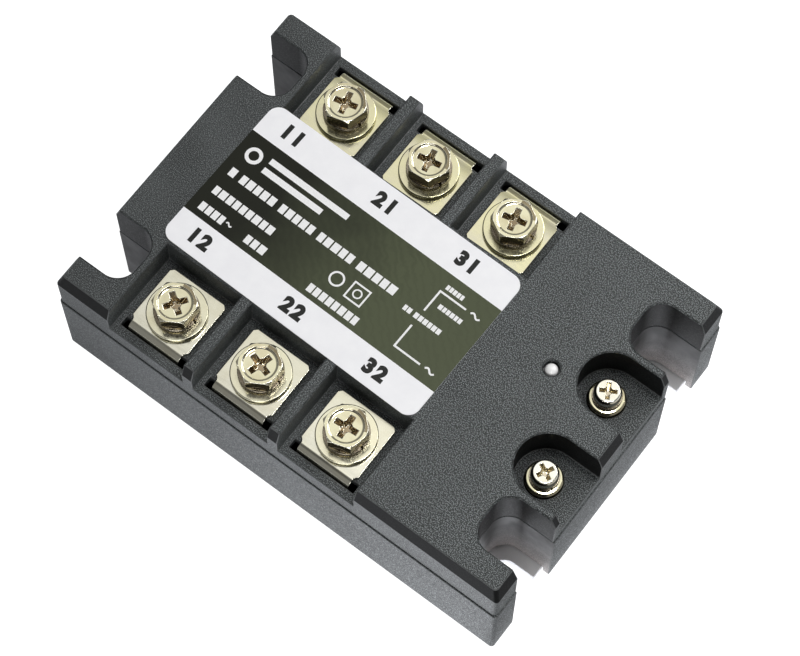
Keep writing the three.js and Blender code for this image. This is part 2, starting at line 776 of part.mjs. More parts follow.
place(
  "control_board",
  box(BOARD_START_X, BOARD_END_X, -BOARD_HALF_Y, BOARD_HALF_Y, BOARD_Z, BOARD_TOP),
  "board",
);
terminalXs.forEach((x, i) => {
  const phase = "abc"[i];
  const tileTop = TILE.z + TILE.thickness;
  place(
    "ceramic_tile_" + phase,
    box(-TILE.halfX, TILE.halfX, -TILE.halfY, TILE.halfY, TILE.z, tileTop),
    "ceramic",
    [x, 0, 0],
  );
  place(
    "power_chip_" + phase,
    box(-CHIP.half, CHIP.half, -CHIP.half, CHIP.half, 0, CHIP.thickness),
    "silicon",
    [x, 0, tileTop + SEAT_GAP],
  );
  place("opto_coupler_" + phase, optoCoupler(), "moulding", [x, OPTO_Y, PART_Z]);
});
place("potting_compound", pottingCompound(), "potting");
place(
  "input_rectifier",
  box(-RECTIFIER.halfX, RECTIFIER.halfX, -RECTIFIER.halfY, RECTIFIER.halfY, 0, RECTIFIER.height),
  "moulding",
  [RECTIFIER.x, RECTIFIER.y, PART_Z],
);
place("input_resistor", inputResistor(), "resistor", [RESISTOR.x, RESISTOR.y, PART_Z]);
place("input_capacitor", inputCapacitor(), "moulding", [CAPACITOR.x, CAPACITOR.y, PART_Z]);

export default relay;
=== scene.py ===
import json
import math
import random

import bmesh
import bpy
from mathutils import Matrix, Vector


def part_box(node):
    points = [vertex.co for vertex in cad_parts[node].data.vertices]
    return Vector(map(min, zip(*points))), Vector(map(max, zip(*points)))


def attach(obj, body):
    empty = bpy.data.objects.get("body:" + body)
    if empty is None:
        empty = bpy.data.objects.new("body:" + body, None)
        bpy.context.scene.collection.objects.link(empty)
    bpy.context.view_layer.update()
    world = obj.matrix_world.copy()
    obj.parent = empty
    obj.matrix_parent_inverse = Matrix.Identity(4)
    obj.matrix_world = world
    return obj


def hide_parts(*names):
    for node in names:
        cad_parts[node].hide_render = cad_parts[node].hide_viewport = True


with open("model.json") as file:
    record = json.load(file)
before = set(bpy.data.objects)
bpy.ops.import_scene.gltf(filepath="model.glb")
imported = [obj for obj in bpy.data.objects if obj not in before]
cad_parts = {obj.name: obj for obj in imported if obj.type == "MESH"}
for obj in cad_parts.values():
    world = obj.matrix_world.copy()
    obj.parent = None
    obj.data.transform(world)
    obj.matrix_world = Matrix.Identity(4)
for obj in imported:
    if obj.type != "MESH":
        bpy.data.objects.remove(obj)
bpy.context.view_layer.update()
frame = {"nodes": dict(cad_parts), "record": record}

# A three-phase solid state relay: moulded cover and shell on an aluminium plate, six load terminals
# with plated hexagon screws, two control terminals, a printed label and a status light.
# Shapes are worked out in millimetres, in the frame of the part, and scaled to metres at the end.

MM = 0.001


def span(node):
    """Lowest and highest corner of a part of the frame, in millimetres."""
    low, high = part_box(node)
    return low / MM, high / MM


# ---- Sizes ----

shell_low, shell_high = span("base_shell")
cover_low, cover_high = span("top_cover")
plate_low, plate_high = span("base_plate")
label_low, label_high = span("front_label")

COVER_BOTTOM = shell_high.z + 0.3  # the joint line between cover and shell
CUT_PAST = 1.0  # how far a cutter runs past the face that it opens
BAND_INSET = 1.2  # the polished band along the cover's top edge leans in by this much
BAND_DROP = 3.2
PLAN_ROUND = 0.8  # corners of the housing seen from above
OPENING_ROUND = 0.25  # upper edges of the bays, notches and pockets
FINE_EDGE = 0.17  # broken edge of the moulding

NOTCH_Y = 24.0
NOTCH_HALF = 5.85
NOTCH_END = 40.9
NOTCH_CORNER = 4.2
NOTCH_WALL = 1.8

POCKET_Y = 10.05
POCKET_HALF = 6.6
POCKET_END = 38.05
POCKET_FLOOR = 24.0

BAY_START = -39.5
BAY_LENGTH = 17.95
BAY_PITCH = 20.35
BAY_INNER_TOP = 17.75
BAY_INNER_FOOT = 18.0
LEDGE_Z = 26.0
WALL = 2.0
ROOF = 2.2
SIDE_ROOM_Y = 34.3
END_ROOM_X = 50.1

SLOT_X = 46.0
SLOT_HALF = 3.2

ROWS = {"1": 1, "2": -1}
PHASES = "abc"
CONTROL_SIDES = {"1": -1, "2": 1}


# ---- Outlines ----


def arc(centre_x, centre_y, radius, start, stop, steps):
    """Points along an arc between two angles in degrees."""
    angles = [math.radians(start + (stop - start) * i / steps) for i in range(steps + 1)]
    return [(centre_x + radius * math.cos(a), centre_y + radius * math.sin(a)) for a in angles]


def rounded_rectangle(half_x, half_y, radius, steps=6):
    """Corners of a rectangle round the origin, counter-clockwise, each on its own arc."""
    x, y = half_x - radius, half_y - radius
    return [
        *arc(x, y, radius, 0, 90, steps),
        *arc(-x, y, radius, 90, 180, steps),
        *arc(-x, -y, radius, 180, 270, steps),
        *arc(x, -y, radius, 270, 360, steps),
    ]


def end_slot(inner_x, centre_y, half_width, corner, steps=16):
    """A slot that is open past the control end, with round inner corners."""
    outer_x = shell_high.x + CUT_PAST
    upper = arc(inner_x + corner, centre_y + half_width - corner, corner, 90, 180, steps)
    lower = arc(inner_x + corner, centre_y - half_width + corner, corner, 180, 270, steps)
    if half_width - corner < 1e-6:
        lower = lower[1:]
    return [
        (outer_x, centre_y + half_width),
        *upper,
        *lower,
        (outer_x, centre_y - half_width),
    ]


def half_turn(points):
    return [(-x, -y) for x, y in points]


def rectangle(x0, x1, y0, y1):
    return [(x0, y0), (x1, y0), (x1, y1), (x0, y1)]


# ---- Solids ----


def loft(rings):
    """A closed solid through rings of points that run the same way, lowest ring first."""
    solid = bmesh.new()
    made = [[solid.verts.new(point) for point in ring] for ring in rings]
    for lower, upper in zip(made, made[1:]):
        for i in range(len(lower)):
            j = (i + 1) % len(lower)
            solid.faces.new((lower[i], lower[j], upper[j], upper[i]))
    solid.faces.new(made[0][::-1])
    solid.faces.new(made[-1])
    return solid


def prism(outline, low, high):
    """An upright solid over a counter-clockwise outline."""
    return loft([[(x, y, z) for x, y in outline] for z in (low, high)])


def block(x0, x1, y0, y1, low, high):
    (x0, x1), (y0, y1) = sorted((x0, x1)), sorted((y0, y1))
    return prism(rectangle(x0, x1, y0, y1), low, high)


def post(x, y, radius, low, high, steps=48):
    return prism(arc(x, y, radius, 0, 360 - 360 / steps, steps - 1), low, high)


def turned(profile, segments=64, ring=False):
    """A solid of revolution about Z from (radius, height) pairs; a ring joins last to first."""
    solid = bmesh.new()
    rows = []
    for radius, height in profile:
        if radius < 1e-6:
            rows.append([solid.verts.new((0, 0, height))])
        else:
            rows.append([solid.verts.new((x, y, height)) for x, y in
                         arc(0, 0, radius, 0, 360 - 360 / segments, segments - 1)])
    pairs = list(zip(rows, rows[1:]))
    if ring:
        pairs.append((rows[-1], rows[0]))
    for lower, upper in pairs:
        for i in range(segments):
            j = (i + 1) % segments
            corners = [lower[i % len(lower)], lower[j % len(lower)],
                       upper[j % len(upper)], upper[i % len(upper)]]
            corners = list(dict.fromkeys(corners))
            if len(corners) > 2:
                solid.faces.new(corners)
    bmesh.ops.recalc_face_normals(solid, faces=solid.faces)
    return solid


def moved(solid, x=0.0, y=0.0, z=0.0, turn=0.0):
    """The same solid turned about Z, in radians, and then moved."""
    place = Matrix.Translation((x, y, z)) @ Matrix.Rotation(turn, 4, "Z")
    bmesh.ops.transform(solid, matrix=place, verts=solid.verts)
    return solid


def together(solids):
    """All the solids in one mesh, each keeping its own surface."""
    whole = bmesh.new()
    for solid in solids:
        mesh = bpy.data.meshes.new("part")
        solid.to_mesh(mesh)
        solid.free()
        whole.from_mesh(mesh)
        bpy.data.meshes.remove(mesh)
    return whole


def workshop_object(solid):
    mesh = bpy.data.meshes.new("work")
    solid.to_mesh(mesh)
    solid.free()
    made = bpy.data.objects.new("work", mesh)
    bpy.context.scene.collection.objects.link(made)
    return made


def combined(body, tools, operation):
    """The body with the tools taken away from it, or only what they share."""
    host, tool = workshop_object(body), workshop_object(together(tools))
    step = host.modifiers.new("shape", "BOOLEAN")
    step.operation = operation
    step.solver = "EXACT"
    step.use_self = True
    step.object = tool
    depsgraph = bpy.context.evaluated_depsgraph_get()
    mesh = bpy.data.meshes.new_from_object(host.evaluated_get(depsgraph))
    result = bmesh.new()
    result.from_mesh(mesh)
    for made in (host, tool):
        old = made.data
        bpy.data.objects.remove(made)
        bpy.data.meshes.remove(old)
    bpy.data.meshes.remove(mesh)
    bmesh.ops.remove_doubles(result, verts=result.verts, dist=1e-4)
    bmesh.ops.dissolve_limit(
        result, angle_limit=math.radians(0.5), verts=result.verts, edges=result.edges
    )
    return result


def without(body, tools):
    return combined(body, tools, "DIFFERENCE")


def shared(body, tools):
    return combined(body, tools, "INTERSECT")


# ---- Node groups shared by the finishes ----


def new_group(name, inputs, outputs):
    """A shader node group: inputs are (name, socket kind, default), outputs (name, socket kind)."""
    tree = bpy.data.node_groups.new(name, "ShaderNodeTree")
    for label, kind, default in inputs:
        socket = tree.interface.new_socket(name=label, in_out="INPUT", socket_type=kind)
        socket.default_value = default
    for label, kind in outputs:
        tree.interface.new_socket(name=label, in_out="OUTPUT", socket_type=kind)
    return tree, tree.nodes.new("NodeGroupInput"), tree.nodes.new("NodeGroupOutput")


def add(tree, kind, settings=None, **inputs):
    """A node with its settings; each input is a value, or a socket that feeds it."""
    made = tree.nodes.new(kind)
    for key, value in (settings or {}).items():
        setattr(made, key, value)
    for key, value in inputs.items():
        feed(tree, made.inputs[key.replace("_", " ")], value)
    return made


def feed(tree, socket, value):
    if isinstance(value, bpy.types.NodeSocket):
        tree.links.new(value, socket)
    else:
        socket.default_value = value


def maths(tree, operation, first, second=0.0, clamp=False):
    made = tree.nodes.new("ShaderNodeMath")
    made.operation = operation
    made.use_clamp = clamp
    feed(tree, made.inputs[0], first)
    feed(tree, made.inputs[1], second)
    return made.outputs[0]


def spread(tree, value, low, high, to_low=0.0, to_high=1.0):
    """A value carried from one range to another, held at the ends."""
    made = add(tree, "ShaderNodeMapRange", Value=value, From_Min=low, From_Max=high,
               To_Min=to_low, To_Max=to_high)
    return made.outputs["Result"]


def blend_colours(tree, factor, first, second):
    made = tree.nodes.new("ShaderNodeMix")
    made.data_type = "RGBA"
    feed(tree, made.inputs["Factor"], factor)
    feed(tree, made.inputs[6], first)
    feed(tree, made.inputs[7], second)
    return made.outputs[2]


FLOAT, COLOUR = "NodeSocketFloat", "NodeSocketColor"
PER_MM = 1 / MM


def make_grain_and_glint_group():
    """Spark-eroded mould grain: pits of a given size that fade on steep faces, and slow mottling. The
    specks' tone also paints glints, stronger towards +X, and the whole tone is painted lighter towards
    +X.
    """
    tree, given, result = new_group(
        "mould_grain_and_painted_glints",
        [("Grain", FLOAT, 4.0), ("Steep Share", FLOAT, 0.35), ("Dark", COLOUR, (0, 0, 0, 1)),
         ("Light", COLOUR, (1, 1, 1, 1))],
        [("Color", COLOUR), ("Height", FLOAT), ("Speck", FLOAT)],
    )
    place = add(tree, "ShaderNodeTexCoord").outputs["Object"]
    scale = maths(tree, "MULTIPLY", given.outputs["Grain"], PER_MM)
    pits = add(tree, "ShaderNodeTexNoise", Vector=place, Scale=scale, Detail=0.0, Roughness=0.5)
    clouds = add(tree, "ShaderNodeTexNoise", Vector=place, Scale=0.09 * PER_MM, Detail=2.0)
    normal = add(tree, "ShaderNodeNewGeometry").outputs["Normal"]
    upward = add(tree, "ShaderNodeSeparateXYZ", Vector=normal).outputs["Z"]
    level = spread(tree, upward, 0.5, 0.95)
    share = maths(tree, "ADD", given.outputs["Steep Share"],
                  maths(tree, "MULTIPLY", level, maths(tree, "SUBTRACT", 1.0,
                                                       given.outputs["Steep Share"])))
    speck = maths(tree, "POWER", spread(tree, pits.outputs["Fac"], 0.30, 0.76), 2.0)
    along = add(tree, "ShaderNodeSeparateXYZ", Vector=place).outputs["X"]
    offset = maths(tree, "MULTIPLY", maths(tree, "SUBTRACT", speck, 0.24), share)
    # Painted glints: the specks' contrast grows towards +X, where the light catches the grain.
    offset = maths(tree, "MULTIPLY", offset, spread(tree, along, -50 * MM, 50 * MM, 0.6, 2.7))
    slow = maths(tree, "MULTIPLY", maths(tree, "SUBTRACT", clouds.outputs["Fac"], 0.5), 0.25)
    # Painted light: the tone grows lighter towards +X.
    slow = maths(tree, "ADD", slow, spread(tree, along, -50 * MM, 50 * MM, -0.02, 0.04))
    tone = maths(tree, "ADD", maths(tree, "ADD", offset, slow), 0.20, clamp=True)
    colour = blend_colours(tree, tone, given.outputs["Dark"], given.outputs["Light"])
    height = maths(tree, "MULTIPLY", pits.outputs["Fac"], share)
    tree.links.new(colour, result.inputs["Color"])
    tree.links.new(height, result.inputs["Height"])
    tree.links.new(speck, result.inputs["Speck"])
    return tree


def make_handling_group():
    """Marks of handling on metal: fine streaks along one way, faint blotches and small dints."""
    tree, given, result = new_group(
        "metal_handling",
        [("Streak X", FLOAT, 1.0), ("Streak Y", FLOAT, 1.0), ("Clean", COLOUR, (1, 1, 1, 1)),
         ("Stained", COLOUR, (0.5, 0.5, 0.5, 1)), ("Smooth", FLOAT, 0.15), ("Rough", FLOAT, 0.3)],
        [("Color", COLOUR), ("Roughness", FLOAT), ("Height", FLOAT)],
    )
    place = add(tree, "ShaderNodeTexCoord").outputs["Object"]
    stretch = add(tree, "ShaderNodeCombineXYZ", X=given.outputs["Streak X"],
                  Y=given.outputs["Streak Y"], Z=1.0).outputs[0]
    along = add(tree, "ShaderNodeVectorMath", {"operation": "MULTIPLY"})
    tree.links.new(place, along.inputs[0])
    tree.links.new(stretch, along.inputs[1])
    streaks = add(tree, "ShaderNodeTexNoise", Vector=along.outputs[0], Scale=1.6 * PER_MM,
                  Detail=4.0, Roughness=0.65)
    blotches = add(tree, "ShaderNodeTexNoise", Vector=place, Scale=0.22 * PER_MM, Detail=3.0)
    dints = add(tree, "ShaderNodeTexNoise", Vector=place, Scale=0.7 * PER_MM, Detail=1.0)
    stain = spread(tree, blotches.outputs["Fac"], 0.45, 0.75)
    colour = blend_colours(tree, stain, given.outputs["Clean"], given.outputs["Stained"])
    worn = maths(tree, "MULTIPLY", spread(tree, streaks.outputs["Fac"], 0.35, 0.7), 0.7)
    worn = maths(tree, "ADD", worn, maths(tree, "MULTIPLY", stain, 0.3))
    rough = spread(tree, worn, 0.0, 1.0, given.outputs["Smooth"], given.outputs["Rough"])
    height = maths(tree, "ADD", maths(tree, "MULTIPLY", streaks.outputs["Fac"], 0.25),
                   dints.outputs["Fac"])
    tree.links.new(colour, result.inputs["Color"])
    tree.links.new(rough, result.inputs["Roughness"])
    tree.links.new(height, result.inputs["Height"])
    return tree


GRAIN_AND_GLINTS = make_grain_and_glint_group()
HANDLING = make_handling_group()


# ---- Finishes ----


def new_finish(name, **values):
    """A material with its own Principled shader, whose plain values are set on its sockets."""
    made = bpy.data.materials.new(name)
    made.use_nodes = True
    tree = made.node_tree
    shader = tree.nodes["Principled BSDF"]
    for key, value in values.items():
        shader.inputs[key.replace("_", " ")].default_value = value
    return made, tree, shader


def use_group(tree, group, **inputs):
    made = tree.nodes.new("ShaderNodeGroup")
    made.node_tree = group
    for key, value in inputs.items():
        feed(tree, made.inputs[key.replace("_", " ")], value)
    return made


def bumped(tree, shader, height, strength, depth):
    """Bump of a given depth in millimetres on the shader's normal."""
    bump = add(tree, "ShaderNodeBump", Height=height, Strength=strength, Distance=depth * MM)
    tree.links.new(bump.outputs["Normal"], shader.inputs["Normal"])


def moulded_plastic(name, dark, light, grain, steep, depth, smooth, rough, shine=0.5):
    made, tree, shader = new_finish(name, IOR=1.5, Specular_IOR_Level=shine)
    skin = use_group(tree, GRAIN_AND_GLINTS, Grain=grain, Steep_Share=steep, Dark=dark, Light=light)
    tree.links.new(skin.outputs["Color"], shader.inputs["Base Color"])
    rise = spread(tree, skin.outputs["Speck"], 0.0, 1.0, rough, smooth)
    tree.links.new(rise, shader.inputs["Roughness"])
    bumped(tree, shader, skin.outputs["Height"], 1.0, depth)
    return made


def plated(name, clean, stained, smooth, rough, streak_x=1.0, streak_y=1.0, depth=0.004,
           warm=None, metallic=1.0):
    """Plated metal; a warm tone, if there is one, comes in towards the +Y side."""
    made, tree, shader = new_finish(name, Metallic=metallic)
    if warm:
        place = add(tree, "ShaderNodeTexCoord").outputs["Object"]
        across = add(tree, "ShaderNodeSeparateXYZ", Vector=place).outputs["Y"]
        clean = blend_colours(tree, spread(tree, across, -30 * MM, 30 * MM), clean, warm)
    marks = use_group(tree, HANDLING, Streak_X=streak_x, Streak_Y=streak_y, Clean=clean,
                      Stained=stained, Smooth=smooth, Rough=rough)
    tree.links.new(marks.outputs["Color"], shader.inputs["Base Color"])
    tree.links.new(marks.outputs["Roughness"], shader.inputs["Roughness"])
    bumped(tree, shader, marks.outputs["Height"], 0.6, depth)
    return made


def painted_sheen_wall(low, high):
    """Polished wall of a notch: the same plastic, painted with a sheen that grows lighter towards the
    plate and towards +X.
    """
    made, tree, shader = new_finish("notch_wall_painted_sheen", IOR=1.5, Specular_IOR_Level=0.3)
    place = add(tree, "ShaderNodeTexCoord").outputs["Object"]
    up = add(tree, "ShaderNodeSeparateXYZ", Vector=place).outputs["Z"]
    smear = add(tree, "ShaderNodeTexNoise", Vector=place, Scale=0.25 * PER_MM, Detail=5.0)
    drift = maths(tree, "MULTIPLY", maths(tree, "SUBTRACT", smear.outputs["Fac"], 0.5), 5 * MM)
    # Painted sheen: lighter towards the bottom, where it stands for light reflected from the plate, and
    # stronger towards +X.
    painted_sheen = maths(tree, "POWER", spread(tree, maths(tree, "ADD", up, drift), high * MM, low * MM), 1.9)
    along = add(tree, "ShaderNodeSeparateXYZ", Vector=place).outputs["X"]
    painted_sheen = maths(tree, "MULTIPLY", painted_sheen, spread(tree, along, -20 * MM, 30 * MM, 0.12, 1.0))
    sheen_noise = add(tree, "ShaderNodeTexNoise", Vector=place, Scale=4.5 * PER_MM, Detail=1.0)
    spots = spread(tree, sheen_noise.outputs["Fac"], 0.35, 0.68, 0.55, 1.35)
    painted_sheen = maths(tree, "MULTIPLY", painted_sheen, spots, clamp=True)
    colour = blend_colours(tree, painted_sheen, (0.026, 0.025, 0.025, 1), (0.50, 0.46, 0.45, 1))
    tree.links.new(colour, shader.inputs["Base Color"])
    tree.links.new(spread(tree, smear.outputs["Fac"], 0.3, 0.7, 0.34, 0.48),
                   shader.inputs["Roughness"])
    bumped(tree, shader, smear.outputs["Fac"], 0.3, 0.03)
    return made


def film_white():
    made, tree, shader = new_finish("label_film_white", IOR=1.45, Roughness=0.38)
    place = add(tree, "ShaderNodeTexCoord").outputs["Object"]
    fibre = add(tree, "ShaderNodeTexNoise", Vector=place, Scale=0.35 * PER_MM, Detail=4.0)
    tone = blend_colours(tree, spread(tree, fibre.outputs["Fac"], 0.3, 0.7),
                         (0.80, 0.80, 0.82, 1), (0.84, 0.84, 0.855, 1))
    tree.links.new(tone, shader.inputs["Base Color"])
    bumped(tree, shader, fibre.outputs["Fac"], 0.3, 0.01)
    return made


def film_print_and_reflection():
    """Dark printed band with woven mottling; its turn from black to olive along its length is partly
    print and partly a painted reflection.
    """
    made, tree, shader = new_finish("label_band_print_and_painted_reflection", Roughness=0.36, Specular_IOR_Level=0.16)
    place = add(tree, "ShaderNodeTexCoord").outputs["Object"]
    along = add(tree, "ShaderNodeSeparateXYZ", Vector=place).outputs
    clouds = add(tree, "ShaderNodeTexNoise", Vector=place, Scale=0.12 * PER_MM, Detail=3.0)
    weave = add(tree, "ShaderNodeTexWave", {"wave_type": "BANDS", "bands_direction": "DIAGONAL"},
                Vector=place, Scale=0.28 * PER_MM, Distortion=6.0, Detail=3.0, Detail_Scale=2.0)
    lean = maths(tree, "ADD", along["X"], maths(tree, "MULTIPLY", along["Y"], -0.25))
    shift = maths(tree, "MULTIPLY", maths(tree, "SUBTRACT", clouds.outputs["Fac"], 0.5), 16 * MM)
    # Black to olive along the band: partly print, partly painted reflection.
    fade = spread(tree, maths(tree, "ADD", lean, shift), -30 * MM, 2 * MM)
    flecks = maths(tree, "MULTIPLY", maths(tree, "SUBTRACT", weave.outputs["Fac"], 0.5), 0.16)
    tone = maths(tree, "ADD", fade, maths(tree, "MULTIPLY", flecks, fade), clamp=True)
    colour = blend_colours(tree, tone, (0.011, 0.012, 0.007, 1), (0.070, 0.081, 0.044, 1))
    tree.links.new(colour, shader.inputs["Base Color"])
    bumped(tree, shader, clouds.outputs["Fac"], 0.2, 0.01)
    return made


def ink(name, thin, full):
    made, tree, shader = new_finish(name, Roughness=0.45, Specular_IOR_Level=0.25)
    place = add(tree, "ShaderNodeTexCoord").outputs["Object"]
    cover = add(tree, "ShaderNodeTexNoise", Vector=place, Scale=5 * PER_MM, Detail=2.0)
    colour = blend_colours(tree, spread(tree, cover.outputs["Fac"], 0.35, 0.55), thin, full)
    tree.links.new(colour, shader.inputs["Base Color"])
    return made


def speckled(name, first, second, size, roughness, depth=0.01, metallic=0.0):
    """A plain finish with a fine two-tone speckle, for the pieces inside the housing."""
    made, tree, shader = new_finish(name, Metallic=metallic, Roughness=roughness)
    place = add(tree, "ShaderNodeTexCoord").outputs["Object"]
    noise = add(tree, "ShaderNodeTexNoise", Vector=place, Scale=PER_MM / size, Detail=4.0)
    colour = blend_colours(tree, spread(tree, noise.outputs["Fac"], 0.35, 0.65), first, second)
    tree.links.new(colour, shader.inputs["Base Color"])
    bumped(tree, shader, noise.outputs["Fac"], 0.4, depth)
    return made


def lens_finish():
    made, tree, shader = new_finish("status_lens", IOR=1.5, Roughness=0.12, Coat_Weight=0.6)
    place = add(tree, "ShaderNodeTexCoord").outputs["Object"]
    haze = add(tree, "ShaderNodeTexNoise", Vector=place, Scale=0.9 * PER_MM, Detail=2.0)
    colour = blend_colours(tree, haze.outputs["Fac"], (0.80, 0.80, 0.79, 1), (0.94, 0.94, 0.93, 1))
    tree.links.new(colour, shader.inputs["Base Color"])
    return made


CHARCOAL = moulded_plastic("charcoal_plastic", (0.009, 0.011, 0.011, 1),
                           (0.188, 0.207, 0.209, 1), 5.0, 0.3, 0.12, 0.34, 0.56)
# Lighter finish for the broken edges of the moulding: a painted edge highlight.
CHARCOAL_EDGE_HIGHLIGHT = moulded_plastic("charcoal_painted_edge_highlight", (0.050, 0.053, 0.053, 1),
                                (0.110, 0.118, 0.118, 1), 5.0, 0.2, 0.01, 0.24, 0.34)
# Near-black polished finish of the band; on the pocket walls and the cover's notch walls it is painted
# shade.
BAND_POLISH_AND_SHADE = moulded_plastic("polished_band_and_painted_shade", (0.0025, 0.0025, 0.0025, 1),
                              (0.009, 0.0095, 0.0095, 1), 4.0, 0.3, 0.01, 0.30, 0.42, shine=0.10)
# Notch walls of the shell: painted sheen.
NOTCH_PAINTED_SHEEN = painted_sheen_wall(2, 18)
PLATING = plated("bright_plating", (0.76, 0.72, 0.50, 1), (0.60, 0.535, 0.34, 1), 0.05, 0.13)
WASHER_PLATING = plated("washer_plating", (0.75, 0.72, 0.545, 1), (0.68, 0.635, 0.45, 1),
                        0.14, 0.26, warm=(0.74, 0.70, 0.44, 1))
STRIP_PLATING = plated("strip_plating", (0.73, 0.71, 0.59, 1), (0.68, 0.645, 0.50, 1),
                       0.12, 0.24, 0.25, 1.0, warm=(0.74, 0.70, 0.43, 1))
# Darker plating inside the load screws' cross recesses: painted shade.
RECESS_SHADE_METAL = plated("recess_painted_shade", (0.34, 0.27, 0.17, 1), (0.20, 0.15, 0.09, 1), 0.14, 0.3)
# Lighter finish for the broken edges of the metal: a painted edge highlight.
PLATING_EDGE_HIGHLIGHT = plated("plating_painted_edge_highlight", (0.86, 0.84, 0.72, 1), (0.78, 0.75, 0.60, 1), 0.10, 0.18)
# Darker plating for the hexagon's sides and the dish wall: painted shade.
SIDE_SHADE_PLATING = plated("shaded_plating", (0.30, 0.255, 0.16, 1), (0.17, 0.137, 0.08, 1), 0.05, 0.12)
SMALL_PLATING = plated("small_plating", (0.88, 0.86, 0.76, 1), (0.74, 0.70, 0.56, 1), 0.06, 0.16)
# Darker plating inside the control screws' cross recesses: painted shade.
SMALL_RECESS_SHADE = plated("small_recess_painted_shade", (0.66, 0.60, 0.46, 1), (0.42, 0.36, 0.25, 1), 0.10, 0.22)
SPRING_STEEL = plated("spring_steel", (0.40, 0.35, 0.27, 1), (0.26, 0.22, 0.16, 1), 0.2, 0.36)
ALUMINIUM = plated("base_aluminium", (0.90, 0.90, 0.91, 1), (0.82, 0.82, 0.84, 1),
                   0.45, 0.65, 0.06, 1.0, 0.01, metallic=0.15)
TINNED_BRASS = plated("tinned_brass", (0.78, 0.71, 0.50, 1), (0.64, 0.54, 0.33, 1), 0.18, 0.32)
FILM = film_white()
BAND = film_print_and_reflection()
DARK_INK = ink("dark_ink", (0.016, 0.017, 0.015, 1), (0.008, 0.0085, 0.007, 1))
WHITE_INK = ink("white_ink", (0.74, 0.745, 0.74, 1), (0.82, 0.82, 0.82, 1))
LENS = lens_finish()
INNER = {
    "circuit_board": speckled("board_resist", (0.02, 0.10, 0.035, 1), (0.03, 0.16, 0.05, 1), 0.6, 0.35),
    "ceramic": speckled("alumina", (0.72, 0.71, 0.68, 1), (0.84, 0.83, 0.80, 1), 0.4, 0.5),
    "silicon": speckled("silicon", (0.10, 0.11, 0.14, 1), (0.16, 0.17, 0.20, 1), 1.0, 0.2, 0.002, 0.5),
    "potting": speckled("potting", (0.012, 0.012, 0.013, 1), (0.03, 0.03, 0.032, 1), 2.0, 0.4, 0.05),
    "black_moulding": speckled("moulded_black", (0.01, 0.01, 0.01, 1), (0.03, 0.03, 0.03, 1), 0.3, 0.5),
    "resistor_body": speckled("resistor_coat", (0.28, 0.20, 0.11, 1), (0.42, 0.33, 0.20, 1), 0.5, 0.5),
    "plated_metal": PLATING,
}


# ---- Placing pieces ----


def piece(name, solid, finishes, body, stands_for=(), edge=0.0, edge_steps=2,
          smooth=32.0):
    """Makes a shown piece from a solid in millimetres; a broken edge takes the last finish, which on
    pieces with several finishes paints a highlight along the edge.
    """
    bmesh.ops.scale(solid, vec=(MM, MM, MM), verts=solid.verts)
    mesh = bpy.data.meshes.new(name)
    solid.to_mesh(mesh)
    solid.free()
    mesh.polygons.foreach_set("use_smooth", [True] * len(mesh.polygons))
    mesh.set_sharp_from_angle(angle=math.radians(smooth))
    for finish in finishes:
        mesh.materials.append(finish)
    made = bpy.data.objects.new(name, mesh)
    bpy.context.scene.collection.objects.link(made)
    if edge:
        broken = made.modifiers.new("broken_edge", "BEVEL")
        broken.width = edge * MM
        broken.segments = edge_steps
        broken.limit_method = "ANGLE"
        broken.angle_limit = math.radians(smooth)
        broken.use_clamp_overlap = False
        broken.harden_normals = True
        # The bevel faces take the last finish, a painted edge highlight.
        if len(finishes) > 1:
            broken.material = len(finishes) - 1
    level = made.modifiers.new("level_shading", "WEIGHTED_NORMAL")
    level.mode = "FACE_AREA"
    level.keep_sharp = True
    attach(made, body)
    if stands_for:
        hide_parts(*stands_for)
    return made


# ---- Housing ----


def four_corners(inner_x, half_width, corner, low, high):
    """The same end slot cut at all four corners."""
    tools = []
    for y in (NOTCH_Y, -NOTCH_Y):
        outline = end_slot(inner_x, y, half_width, corner)
        tools.append(prism(outline, low, high))
        tools.append(prism(half_turn(outline), low, high))
    return tools


def inner_room(low, high):
    """Space inside the housing, which leaves the walls of the notches standing."""
    room = block(-END_ROOM_X, END_ROOM_X, -SIDE_ROOM_Y, SIDE_ROOM_Y, low, high)
    return room, four_corners(NOTCH_END - NOTCH_WALL, NOTCH_HALF + NOTCH_WALL,
                              NOTCH_CORNER + NOTCH_WALL, low - CUT_PAST, high + CUT_PAST)


def bay(index, side):
    """Cutter for one terminal bay, with a little draft on its inner wall."""
    start = BAY_START + index * BAY_PITCH
    end = start + BAY_LENGTH
    far = side * (shell_high.y + CUT_PAST)
    over = cover_high.z + CUT_PAST
    lean = (BAY_INNER_TOP - BAY_INNER_FOOT) / (cover_high.z - LEDGE_Z)
    rings = []
    for z in (LEDGE_Z, over):
        near = side * (BAY_INNER_FOOT + lean * (z - LEDGE_Z))
        y0, y1 = sorted((near, far))
        rings.append([(x, y, z) for x, y in rectangle(start, end, y0, y1)])
    return loft(rings)


def terminal_x(index):
    low, high = span("output_terminal_" + PHASES[index] + "1")
    return (low.x + high.x) / 2


def round_openings(solid):
    """Rounds the upper edges of the bays, notches and pockets."""
    edges = []
    for edge in solid.edges:
        if len(edge.link_faces) != 2 or min(v.co.z for v in edge.verts) < cover_high.z - 0.1:
            continue
        rises = sorted(abs(face.normal.z) for face in edge.link_faces)
        if rises[0] < 0.1 < rises[1] and edge.calc_face_angle(0) > math.radians(40):
            edges.append(edge)
    bmesh.ops.bevel(solid, geom=edges, offset=OPENING_ROUND, segments=3, profile=0.5,
                    affect="EDGES", clamp_overlap=False)
    return solid


def on_notch_wall(face, middle):
    """True for an upright face inside one of the mounting notches."""
    beside = abs(abs(middle.y) - NOTCH_Y) < NOTCH_HALF + 0.1
    return (NOTCH_END - 0.1 < abs(middle.x) < shell_high.x - 0.1 and beside
            and abs(face.normal.z) < 0.1)


